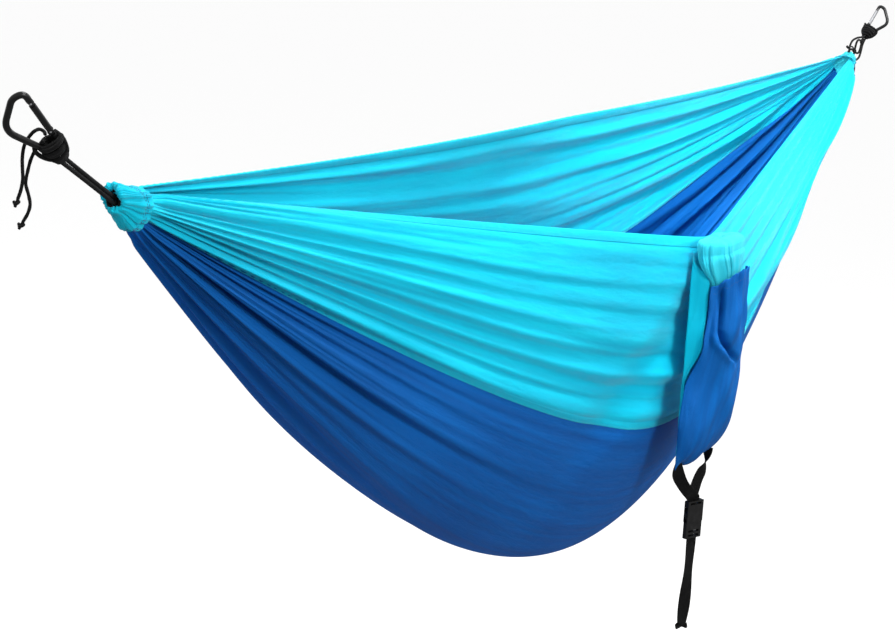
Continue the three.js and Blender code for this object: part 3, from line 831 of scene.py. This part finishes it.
left_channel, left_rings = end_channel("left_gathered_channel", -1, LEFT_MOUTH, CYAN, 5)
right_channel, right_rings = end_channel("right_gathered_channel", 1, RIGHT_MOUTH, PALE, 9)


def channel_stitches(name, rings, mouth):
    lines = []
    for k in (11, 13):
        line = np.vstack([rings[k], rings[k][:1]])
        out = line - mouth
        out[:, 0] = 0
        line = spaced(line, 0.0006)
        lines.append((line, unit(spaced(out, count=len(line)))))
    made = stitches(name, lines, 0.0004, BLUE_THREAD, 0.0034, 0.0026, 0.0005)
    return made


left_bartack = channel_stitches("left_channel_stitches", left_rings, LEFT_MOUTH)
right_bartack = channel_stitches("right_channel_stitches", right_rings, RIGHT_MOUTH)


# ---- The carabiners ----
CROWN_POINT = Vector((71.2, 6.4, 0)) * MM
FACING = Vector((0.87, 0.44, -0.21))
LEFT_RISE, LEFT_ASIDE = 45, 1
RIGHT_RISE, RIGHT_ASIDE = 45, -9
BAR = 0.0065
HOLE_R, TONGUE, FORK = 0.0013, 0.0022, 0.0028
HINGE_X, NOSE_X, LATCH_X = 0.022, 0.060, 0.061
RING_CORNERS = [
    (58, 0, 0), (74, 0, 7), (74, 12, 5), (47, 35, 14), (0, 12, 5), (0, 0, 5), (17.6, 0, 0),
]  # fmt: skip


def carabiner_place(anchor, side, rise, aside):
    """The matrix of a carabiner: x from its narrow end to its crown, y to its spine."""
    up, across = math.radians(rise), math.radians(aside)
    x = Vector(
        (side * math.cos(up) * math.cos(across), math.sin(across), math.sin(up) * math.cos(across))
    )
    y = (x.cross(FACING) * -side).normalized()
    z = x.cross(y)
    turn = Matrix((x, y, z)).transposed()
    return Matrix.Translation(Vector(anchor) - turn @ CROWN_POINT) @ turn.to_4x4()


LEFT_PLACE = carabiner_place(mounts["left_anchor"]["pos_m"], -1, LEFT_RISE, LEFT_ASIDE)
RIGHT_PLACE = carabiner_place(mounts["right_anchor"]["pos_m"], 1, RIGHT_RISE, RIGHT_ASIDE)


def placed(points, matrix):
    m = np.array(matrix)
    return np.asarray(points, float) @ m[:3, :3].T + m[:3, 3]


def ring_path():
    """The bar's centreline: straight lines with rounded corners, in the carabiner's own frame."""
    at = [np.array([x, y, 0]) * MM for x, y, _ in RING_CORNERS]
    dense = [at[0]]
    for i in range(1, len(at) - 1):
        cut = RING_CORNERS[i][2] * MM
        before = at[i] + unit(at[i - 1] - at[i]) * cut
        after = at[i] + unit(at[i + 1] - at[i]) * cut
        t = np.linspace(0, 1, 24)[:, None]
        dense.append((1 - t) ** 2 * before + 2 * t * (1 - t) * at[i] + t * t * after)
    return spaced(np.vstack([*dense, at[-1]]), 0.0011)


def object_of(name, made):
    """An object of a bmesh, which is freed."""
    mesh = bpy.data.meshes.new(name)
    made.to_mesh(mesh)
    made.free()
    obj = bpy.data.objects.new(name, mesh)
    bpy.context.scene.collection.objects.link(obj)
    return obj


def rounded_block(name, size, centre, bevel=0.0):
    made = bmesh.new()
    bmesh.ops.create_cube(made, size=1)
    bmesh.ops.scale(made, vec=size, verts=made.verts)
    if bevel:
        bmesh.ops.bevel(
            made, geom=made.edges[:], offset=bevel, segments=3, profile=0.5, affect="EDGES"
        )
    bmesh.ops.translate(made, vec=centre, verts=made.verts)
    return object_of(name, made)


def pin(name, radius, length, x, axis="Z"):
    """A round bar through (x, 0, 0) along Z, or from x along X."""
    made = bmesh.new()
    bmesh.ops.create_cone(
        made, cap_ends=True, segments=40, radius1=radius, radius2=radius, depth=length
    )
    if axis == "X":
        bmesh.ops.rotate(made, matrix=Matrix.Rotation(math.pi / 2, 3, "Y"), verts=made.verts)
        x += length / 2
    bmesh.ops.translate(made, vec=(x, 0, 0), verts=made.verts)
    return object_of(name, made)


def coat(obj, material, bevel, segments, angle):
    """Its one material, and its sharp edges eased."""
    obj.data.materials.clear()
    obj.data.materials.append(material)
    return modified(
        obj, "BEVEL", width=bevel, segments=segments, limit_method="ANGLE", angle_limit=angle
    )


def finished(obj, name, matrix, material, body, node):
    """A rigid piece put in its place, with its edges eased and its finish on."""
    obj.name = name
    obj.data.transform(matrix)
    obj.data.polygons.foreach_set("use_smooth", [True] * len(obj.data.polygons))
    coat(obj, material, 0.0003, 2, 0.9)
    modified(obj, "WEIGHTED_NORMAL", keep_sharp=True)
    return fitted(obj, body, node)


def carabiner(side, matrix, gate_material):
    """The bent bar with its slit nose, tongue and land, and the gate with its fork and tongue."""
    path = ring_path()
    bar = loft("bar", [tube_rings(path, BAR / 2, 28)], COATED)
    tongue = rounded_block("tongue", (0.0094, BAR * 0.8, TONGUE), (HINGE_X - 0.0017, 0, 0), 0.0006)
    cut_or_joined(tongue, pin("hole", HOLE_R, 0.006, HINGE_X), "DIFFERENCE")
    cut_or_joined(bar, tongue, "UNION")
    slit = rounded_block("slit", (0.007, 0.01, FORK), (LATCH_X, 0, 0))
    cut_or_joined(bar, slit, "DIFFERENCE")
    notch = rounded_block("notch", (0.0028, 0.006, 0.01), (LATCH_X, 0.0016, 0), 0.0006)
    cut_or_joined(bar, notch, "DIFFERENCE")
    land = rounded_block("land", (0.0052, 0.0056, 0.0085), CROWN_POINT - Vector((0.0026, 0, 0)))
    cut_or_joined(bar, land, "DIFFERENCE")
    finished(
        bar, f"{side}_carabiner_bar", matrix, COATED, f"{side}_carabiner",
        f"{side}_carabiner_body",
    )  # fmt: skip
    gate = pin("gate", BAR / 2, NOSE_X - 0.003 - HINGE_X, HINGE_X, "X")
    cut_or_joined(gate, pin("foot", BAR / 2, BAR - 0.0014, HINGE_X), "UNION")
    fork = rounded_block("fork", (0.009, 0.01, FORK), (HINGE_X, 0, 0))
    cut_or_joined(gate, fork, "DIFFERENCE")
    tip = rounded_block("tip", (0.0065, 0.0044, TONGUE), (NOSE_X - 0.00025, 0, 0), 0.0005)
    cut_or_joined(gate, tip, "UNION")
    cut_or_joined(gate, pin("hole", HOLE_R, 0.02, HINGE_X), "DIFFERENCE")
    cut_or_joined(gate, pin("hole", HOLE_R, 0.006, LATCH_X), "DIFFERENCE")
    finished(
        gate, f"{side}_carabiner_latch_gate", matrix, gate_material, f"{side}_gate",
        f"{side}_carabiner_gate",
    )  # fmt: skip


carabiner("left", LEFT_PLACE, COATED)
carabiner("right", RIGHT_PLACE, GREY_STEEL)


# ---- The suspension ropes ----
ROPE_D = 0.0045
HITCH_MIDDLE_Y = 0.006


def wrap_turns(turns, x_range, half_y, half_z, wobble):
    """Turns of rope laid side by side round both legs of a carabiner, in its own frame."""
    t = np.linspace(0, 1, int(turns * 60))
    turn = 2 * math.pi * turns * t
    x = x_range[0] + (x_range[1] - x_range[0]) * t + wobble * np.sin(turn * 0.5 + 1)
    tall = np.interp(t, np.linspace(0, 1, len(half_y)), half_y)
    deep = np.interp(t, np.linspace(0, 1, len(half_z)), half_z)
    return np.stack([x, HITCH_MIDDLE_Y + tall * np.cos(turn), deep * np.sin(turn)], -1)


def hitch(side, matrix, bundles, arcs):
    paths = [placed(b, matrix) for b in bundles]
    paths += [placed(curve_through(np.array(a) * MM, 0.001), matrix) for a in arcs]
    made = braided(f"{side}_rope_wraps", paths, ROPE_D, ROPE)
    return fitted(made, f"{side}_carabiner", f"{side}_hitch")


LEFT_WRAPS = [
    wrap_turns(5.5, (-0.014, 0.0125), (0.0055, 0.0078, 0.0098, 0.0115), (0.006, 0.0065), 0.0006),
    wrap_turns(4.5, (-0.010, 0.010), (0.0066, 0.0102, 0.0118), (0.0096, 0.0102), 0.0012),
    wrap_turns(4.0, (-0.002, 0.0130), (0.0022, 0.0064), (0.0026, 0.0044), 0.0008),
]
hitch(
    "left",
    LEFT_PLACE,
    LEFT_WRAPS,
    [
        [(-12, 3, 1), (-6, -2, 4), (2, -5, 5), (11, -5.5, 1), (15, -2, -5)],
        [(-13, 8, -1), (-8, 13, 3), (0, 19, 4), (9, 22.5, 1), (13, 20, -5)],
    ],
)
RIGHT_WRAPS = [
    wrap_turns(6.5, (-0.014, 0.014), (0.0062, 0.0092, 0.0125, 0.014), (0.006, 0.007), 0.0008),
    wrap_turns(3.5, (-0.01, 0.006), (0.008, 0.0118, 0.013), (0.0102, 0.0106), 0.0016),
    wrap_turns(4.0, (-0.002, 0.0130), (0.0022, 0.0064), (0.0026, 0.0044), 0.0008),
]
hitch(
    "right",
    RIGHT_PLACE,
    RIGHT_WRAPS,
    [
        [(-13, 3, 1), (-7, -3, 4), (1, -6, 5), (10, -6, 1), (15, -2, -4)],
        [(-14, 9, -1), (-8, 15, 4), (0, 20, 5), (9, 23, 1), (14, 20, -5)],
    ],
)


def strands(side, mouth, bend, spreads, extra):
    """The doubled rope from the channel to the hitch, and the bunch of it in the channel's mouth.
    spreads says how far the two strands stand apart, in even steps from the mouth to the bend."""
    way = unit(bend - mouth)
    sideways = unit(np.cross((0, 0, 1), way))
    upward = np.cross(way, sideways)
    long = np.linalg.norm(bend - mouth)
    paths = []
    t = np.linspace(0, 1, 60)
    for sign in (1, -1):
        apart = np.interp(t, np.linspace(0, 1, len(spreads)), spreads) * MM
        apart = np.convolve(np.pad(apart, 3, "edge"), np.ones(7) / 7, "valid")
        over = np.sqrt(np.clip((ROPE_D * 0.5) ** 2 - apart**2, 0, None)) * 1.04
        line = (
            mouth
            + np.outer(-0.012 + (long + 0.012 + 0.004) * t, way)
            + np.outer(sign * apart, upward)
            + np.outer(sign * over, sideways)
        )
        paths.append(line)
    turns = 2.5
    turn = np.linspace(0, 2 * math.pi * turns, 150)
    swell = 0.0042 + 0.0042 * np.sin(np.linspace(0, math.pi, 150))
    inside = np.linspace(-0.001, 0.012, 150)
    paths.append(
        mouth
        + np.outer(inside * -side, (1, 0, 0))
        + np.outer(swell * np.sin(turn), (0, 1, 0))
        + np.outer(swell * 1.25 * np.cos(turn) - 0.0015, (0, 0, 1))
    )
    for loop in extra:
        local = np.array(loop) * MM
        paths.append(
            curve_through(
                mouth
                + np.outer(local[:, 0], way)
                + np.outer(local[:, 1], sideways)
                + np.outer(local[:, 2], upward),
                0.001,
            )
        )
    name = "left" if side < 0 else "right"
    made = braided(f"{name}_rope_strands", paths, ROPE_D, ROPE)
    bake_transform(made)
    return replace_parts(made, f"{name}_rope")


LEFT_BEND = np.array(joints["left_rope_bend"]["pos_m"])
RIGHT_BEND = np.array(joints["right_rope_bend"]["pos_m"])
strands(-1, LEFT_MOUTH, LEFT_BEND, (2.6, 2.3, 2.3, 2.4, 2.6), [])
strands(
    1,
    RIGHT_MOUTH,
    RIGHT_BEND,
    (4, 13, 18, 15, 6, -5, -13, -15, -9, 1, 5, 4),
    [
        [(2, 0, 6), (16, 3, 18), (34, 4, 23), (54, 2, 19), (72, 0, 11), (86, 0, 5)],
        [(3, 0, -4), (20, -3, -15), (40, -4, -20), (58, -2, -16), (74, 0, -9), (87, 0, -4)],
    ],
)


# ---- The stuff sack ----
tab_low, tab_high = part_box("sack_tab")
TAB_ABOVE = 0.004  # how far the tab stands above the sack's origin
tab_middle = [(low + high) / 2 for low, high in zip(tab_low, tab_high)]
SACK = np.array([*tab_middle[:2], tab_high.z - TAB_ABOVE])
TAB_HALF = (tab_high.x - tab_low.x) / 2
SACK_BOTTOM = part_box("sack_front_panel")[0].z - SACK[2]
SACK_HALF = 0.062
SACK_MOUTH, BACK_TOP = -0.066, -0.012  # the heights where the front and the back begin
sack_random = np.random.default_rng(23)


def tab():
    """The sack's casing, sewn to the hem: cloth that is puckered at the hem and gathers down
    into the sack's mouth."""
    around = 200
    turn = angles(around)
    phase, size, lean = (wander(sack_random, 2, 6) for _ in range(3))
    # The height, the shares of its width and its depth there, and where its middle is.
    stations = [
        (0.0035, 0.30, 0.20, -0.018), (0.0045, 0.80, 0.70, -0.020), (0.0035, 0.95, 0.92, -0.022),
        (0.0005, 1.0, 1.0, -0.0225), (-0.006, 1.0, 1.0, -0.0225), (-0.0145, 0.985, 1.0, -0.023),
        (-0.0165, 0.98, 0.96, -0.0235), (-0.0185, 1.0, 0.98, -0.024), (-0.025, 1.02, 0.98, -0.026),
        (-0.034, 1.0, 0.9, -0.028), (-0.044, 0.9, 0.8, -0.030), (-0.054, 0.76, 0.70, -0.0325),
        (-0.064, 0.66, 0.66, -0.033), (-0.072, 0.58, 0.56, -0.033), (-0.076, 0.4, 0.4, -0.033),
    ]  # fmt: skip
    rings, grain = [], []
    for z, wide, deep, middle in stations:
        low = smoothstep(-z, 0.0, 0.06)
        wave = 13 * turn + 2 * phase(turn) + 14 * z * lean(turn * 2)
        pucker = np.sin(wave + 0.7 * np.sin(wave)) * (0.7 + 0.5 * size(turn * 2))
        pucker = pucker + 0.4 * np.sin(2.3 * wave + 2)
        grow = 1 + (0.035 + 0.085 * low) * pucker * min(1.0, wide)
        square = lambda w: np.sign(w) * np.abs(w) ** (0.72 + 0.28 * low)
        x = (TAB_HALF + 0.005) * wide * square(np.cos(turn)) * grow
        y = middle + 0.0245 * deep * square(np.sin(turn)) * grow
        tilt = 0.02 * low * np.clip(-np.sin(turn), 0, 1) * (1 - smoothstep(-z, 0.05, 0.076))
        rings.append(np.stack([x, y, z + tilt + 0.0011 * np.sin(5 * turn + 2)], -1))
        grain.append(np.stack([np.full(around, z), turn * 0.05], -1))
    made = loft("sack_casing", [np.array(rings) + SACK], PALE, [np.array(grain)])
    modified(made, "SUBSURF", levels=1, render_levels=1)
    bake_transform(made)
    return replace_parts(made, "sack_tab")


def sack_sheet(name, point, rows, columns, material, node, flat, hung=False):
    u = np.linspace(-1, 1, columns)[None]
    v = np.linspace(0, 1, rows)[:, None]
    points = point(u, v) + SACK
    grain = np.stack(np.broadcast_arrays(v * flat[1], u * flat[0] / 2), -1)
    made = make_object(name, points, grid_faces(rows, columns), material, grain)
    modified(made, "SOLIDIFY", thickness=0.0007, offset=0)
    if hung:
        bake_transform(made)
    else:
        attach(made, "sack")
    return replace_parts(made, node)


front_phase, front_size, front_fold, back_fold = (wander(sack_random, 2, 7) for _ in range(4))
DEPTH_TOP, DEPTH_BOTTOM, DEPTH_SIDE, RIM_RISE = 0.064, 0.044, 0.024, 0.03


def side_depth(v):
    """How far the sack's side walls bring the front's edges out from the back."""
    return DEPTH_SIDE * (1 - smoothstep(v, 0.3, 0.56))


def deep_crease(u, v):
    """A fold that runs down from the gathers and then across the front."""
    at = np.interp(v, (0, 0.12, 0.25, 0.31, 0.37, 0.43), (-0.78, -0.73, -0.64, -0.52, -0.3, -0.05))
    aside = u - at
    valley = -0.017 * hump(aside, 0.075) + 0.006 * hump(aside + 0.17, 0.11)
    return valley * between(v, 0.0, 0.07, 0.37, 0.47)


def sack_front_point(u, v):
    """The bulged front: gathered under its mouth hem, deep folds, a puckered bottom."""
    turn = u * 0.97 * math.pi / 2
    half = 0.052 + 0.011 * smoothstep(v, 0.12, 0.3) + 0.014 * smoothstep(v, 0.42, 0.78)
    half = half - 0.010 * v**14
    front = DEPTH_TOP + (DEPTH_BOTTOM - DEPTH_TOP) * v * v
    side = side_depth(v)
    depth = (side + (front - side) * np.cos(turn) ** 0.85) * np.clip(1 - v**10, 0, 1) ** 0.8
    wave = 24 * u + 2.6 * front_phase(u)
    top = np.exp(-((v / 0.13) ** 1.2)) * (0.6 + 0.4 * smoothstep(v, 0.0, 0.03))
    bottom = np.exp(-(((1 - v) / 0.1) ** 1.4))
    gathers = 0.0034 * top * np.sin(wave + 0.7 * np.sin(wave)) * (0.8 + 0.5 * front_size(u * 2))
    gathers = gathers + 0.0026 * bottom * np.sin(12 * u + 2 * front_fold(u + 2))
    lobe = 0.007 * hump(u + 0.3, 0.16) * between(v, 0.05, 0.2, 0.24, 0.4)
    lobe = lobe - 0.006 * hump(u + 0.9, 0.06) * between(v, 0.0, 0.08, 0.2, 0.4)
    far = -0.009 * hump(u - 0.35 - 0.3 * v, 0.09) * (1 - smoothstep(v, 0.2, 0.55))
    long = 0.0035 * np.sin(5.5 * u + 3 * front_size(1.7 * v + 1)) * smoothstep(v, 0.35, 0.6)
    soft = 0.0022 * front_fold(3 * v + 2.5 * u) + 0.0016 * front_size(5 * v - 3 * u)
    out = gathers + deep_crease(u, v) + lobe + far
    out = out + (soft + long) * np.sin(math.pi * np.clip(v, 0, 1)) ** 0.5
    x = (half + 0.7 * out) * np.sin(turn)
    y = -0.003 - depth - out * np.cos(turn)
    z = SACK_MOUTH + (SACK_BOTTOM - SACK_MOUTH + 0.001) * v + RIM_RISE * np.cos(turn) * (1 - v) ** 3
    z = z + 0.0035 * bottom * np.sin(9 * u + 1) * v + 0.003 * top * np.sin(wave)
    return np.stack(np.broadcast_arrays(x, y, z), -1)


def sack_back_point(u, v):
    """The flat back, whose edges turn forward as the side walls that meet the front."""
    fold = smoothstep(np.abs(u), 0.62, 0.74)
    wall = np.clip((np.abs(u) - 0.68) / 0.32, 0, 1)
    across = np.sign(u) * np.clip(np.abs(u) / 0.68, 0, 1)
    half = SACK_HALF - 0.002 - 0.003 * v - 0.007 * (1 - smoothstep(v, 0.0, 0.14))
    hollow = 0.004 * (1 - across * across) * np.sin(math.pi * v)
    ripple = 0.0012 * back_fold(u * 3 + v) + 0.001 * np.sin(11 * u + 3 * back_fold(v * 2))
    below = smoothstep(v, 0.03, 0.14)
    reach = (side_depth((v - 0.16) / 0.84) + 0.0035) * below
    y = hollow + 0.0006 + ripple * np.sin(math.pi * v) ** 0.6 * 0.6 - reach * wall
    sag = 0.004 * wall * np.sin(9 * v + 1) * np.sin(math.pi * wall) * (1 - v)
    tuck = 0.008 * wall * below * (1 - smoothstep(v, 0.25, 0.4))
    x = half * across * (1 - 0.02 * fold * wall) + np.sign(u) * (sag - tuck)
    z = BACK_TOP + (SACK_BOTTOM - BACK_TOP) * v
    return np.stack(np.broadcast_arrays(x, y, z), -1)


casing = tab()
sack_back = sack_sheet(
    "sack_back_cloth", sack_back_point, 80, 100, CYAN, "sack_back_panel",
    (0.16, 0.33), hung=True,
)
sack_front = sack_sheet(
    "sack_front_cloth", sack_front_point, 150, 170, BLUE, "sack_front_panel",
    (0.24, 0.3),
)  # fmt: skip


def sack_drawcord():
    u = np.linspace(-0.93, 0.93, 160)
    path = sack_front_point(u, np.full(160, 0.02)) * (0.93, 0.94, 1) + SACK
    made = braided("sack_mouth_cord", [path], 0.0026, CORD)
    return fitted(made, "sack", "sack_drawcord")


mouth_cord = sack_drawcord()


def sack_stitches():
    lines, step = [], 1e-3
    u = np.linspace(-0.97, 0.97, 300)
    for height in (0.04, 0.962, 0.972):
        v = np.full(300, height)
        line = sack_front_point(u, v) + SACK
        wide = sack_front_point(u + step, v) - sack_front_point(u - step, v)
        down = sack_front_point(u, v + step) - sack_front_point(u, v - step)
        lines.append((line, unit(np.cross(down, wide))))
    return stitches("sack_stitching", lines, 0.0005, BLUE_THREAD, 0.0034, 0.0024, 0.0004, "sack")


sack_thread = sack_stitches()


# ---- The webbing strap and its buckle ----
STRAP_W, STRAP_T = 0.020, 0.0016
TWIST = math.radians(-26)
STRAP_TOP = np.array([SACK[0], SACK[1] - 0.015, SACK[2] - 0.345 - 0.004])
BUCKLE_BACK = np.array([-math.sin(TWIST), math.cos(TWIST), 0])
BUCKLE_TOP = -0.062
BUCKLE_LONG = 0.060


def ribbon(name, points, turned, body, node, cup=0.0):
    """A webbing strap along a path. turned(v) says how its width lies at v, in radians."""
    path = curve_through(np.array(points), 0.0011)
    ahead = unit(np.gradient(path, axis=0))
    v = np.linspace(0, 1, len(path))
    angle = turned(v)[:, None]
    wide = np.hstack([np.cos(angle), np.sin(angle), np.zeros_like(angle)])
    wide = unit(wide - ahead * (wide * ahead).sum(1, keepdims=True))
    out = np.cross(wide, ahead)
    profile = [(x, 1.0 if k % 2 else 0.84) for k, x in enumerate(np.linspace(-1, 1, 15))]
    profile[0], profile[-1] = (-1, 0.5), (1, 0.5)
    loop = profile + [(x, -t) for x, t in reversed(profile)]
    x = np.array([p[0] for p in loop])[None] * STRAP_W / 2
    t = np.array([p[1] for p in loop])[None] * STRAP_T / 2 + cup * (1 - (x / STRAP_W * 2) ** 2)
    rings = path[:, None] + wide[:, None] * x[..., None] + out[:, None] * t[..., None] + STRAP_TOP
    run = v[:, None] * len(path) * 0.0011
    grain = np.stack(np.broadcast_arrays(run, x), -1)
    made = loft(name, [rings], WEB, [grain])
    return fitted(made, body, node)


def behind(z, out=0.0063):
    return tuple(BUCKLE_BACK * out + np.array([0, 0, z]))


ribbon(
    "strap_fixed_webbing",
    [
        (-0.058, 0.012, 0.012),
        (-0.053, 0.0105, -0.010),
        (-0.040, 0.007, -0.028),
        (-0.016, 0.001, -0.049),
        (0, 0, -0.062),
        (0, 0, -0.065),
    ],
    lambda v: TWIST * smoothstep(v, 0, 0.8) - 0.9 * np.sin(math.pi * np.clip(1.4 * v, 0, 1)),
    "strap",
    "strap_fixed",
    0.0008,
)
ribbon(
    "strap_adjusting_webbing",
    [(0.038, -0.002, 0.016), (0.034, 0.0, -0.012), (0.020, 0.005, -0.036), behind(-0.066),
     behind(-0.092, 0.0066), behind(-0.116, 0.0062), behind(-0.122, 0.005)],
    lambda v: 1.15 - (1.15 - TWIST) * smoothstep(v, 0.02, 0.3),
    "strap",
    "strap_adjusting",
    0.0006,
)  # fmt: skip
TAIL_TOP = BUCKLE_TOP - BUCKLE_LONG
ribbon(
    "strap_tail_webbing",
    [(0, 0, TAIL_TOP - 0.0006), (-0.003, -0.001, TAIL_TOP - 0.03), (-0.003, 0, TAIL_TOP - 0.07),
     (-0.001, 0.002, TAIL_TOP - 0.11), (-0.0024, 0.003, TAIL_TOP - 0.140),
     (-0.006, 0.002, TAIL_TOP - 0.146), (-0.0095, 0.0, TAIL_TOP - 0.144)],
    lambda v: TWIST + 0.5 * np.sin(2.2 * math.pi * v) * v,
    "buckle_plug",
    "strap_tail",
    0.0004,
)  # fmt: skip

for node in ("buckle_female", "buckle_male", "buckle_left_latch", "buckle_right_latch"):
    part = coat(frame["nodes"][node], PLASTIC, 0.0011, 3, 0.6)
    modified(part, "WEIGHTED_NORMAL", keep_sharp=True)

for side in ("left", "right"):
    for small in ("gate_rivet", "latch_rivet", "gate_spring"):
        coat(frame["nodes"][f"{side}_{small}"], STEEL, 0.00025, 2, 0.9)


# ---- Floor and light ----
def stage_and_light():
    """A pale floor far below, sky light that is dimmer from below, and four soft lamps."""
    floor_material = Nodes("floor")
    floor_material.set(Base_Color=(0.93, 0.93, 0.93, 1), Roughness=0.9, Specular_IOR_Level=0.1)
    half, low = 900, -2.4
    corners = [(-half, -half, low), (half, -half, low), (half, half, low), (-half, half, low)]
    floor = make_object("floor", corners, [(0, 1, 2, 3)], floor_material.material)
    floor.visible_diffuse = floor.visible_transmission = floor.visible_glossy = False
    world = bpy.data.worlds.new("studio")
    world.use_nodes = True
    tree = world.node_tree
    place = tree.nodes.new("ShaderNodeTexCoord")
    split = tree.nodes.new("ShaderNodeSeparateXYZ")
    tree.links.new(place.outputs["Generated"], split.inputs["Vector"])
    ramp = tree.nodes.new("ShaderNodeMapRange")
    for key, value in (("From Min", -0.3), ("From Max", 0.25), ("To Min", 0.46), ("To Max", 1.05)):
        ramp.inputs[key].default_value = value
    tree.links.new(split.outputs["Z"], ramp.inputs["Value"])
    tree.links.new(ramp.outputs["Result"], tree.nodes["Background"].inputs["Strength"])
    tree.nodes["Background"].inputs["Color"].default_value = (1, 1, 1, 1)
    bpy.context.scene.world = world
    for name, place, target, size, spread, power in (
        ("key", (5.6, -2.1, 1.6), (2.2, -0.1, -0.3), 1.6, 180, 30),
        ("left", (-0.4, -3.4, 1.3), (0.9, 0, -0.3), 1.1, 180, 105),
        ("top", (1.2, -0.7, 2.4), (1.7, 0.1, -0.3), 0.9, 180, 130),
        ("inside", (1.1, -0.95, 1.25), (2.05, 0.12, -0.25), 0.3, 50, 7),
    ):
        data = bpy.data.lights.new(name, "AREA")
        data.size = size
        data.spread = math.radians(spread)
        data.energy = power
        lamp = bpy.data.objects.new(name, data)
        lamp.location = place
        lamp.rotation_euler = (Vector(target) - Vector(place)).to_track_quat("-Z", "Y").to_euler()
        bpy.context.scene.collection.objects.link(lamp)
    bpy.context.scene.view_settings.view_transform = "Standard"


stage_and_light()
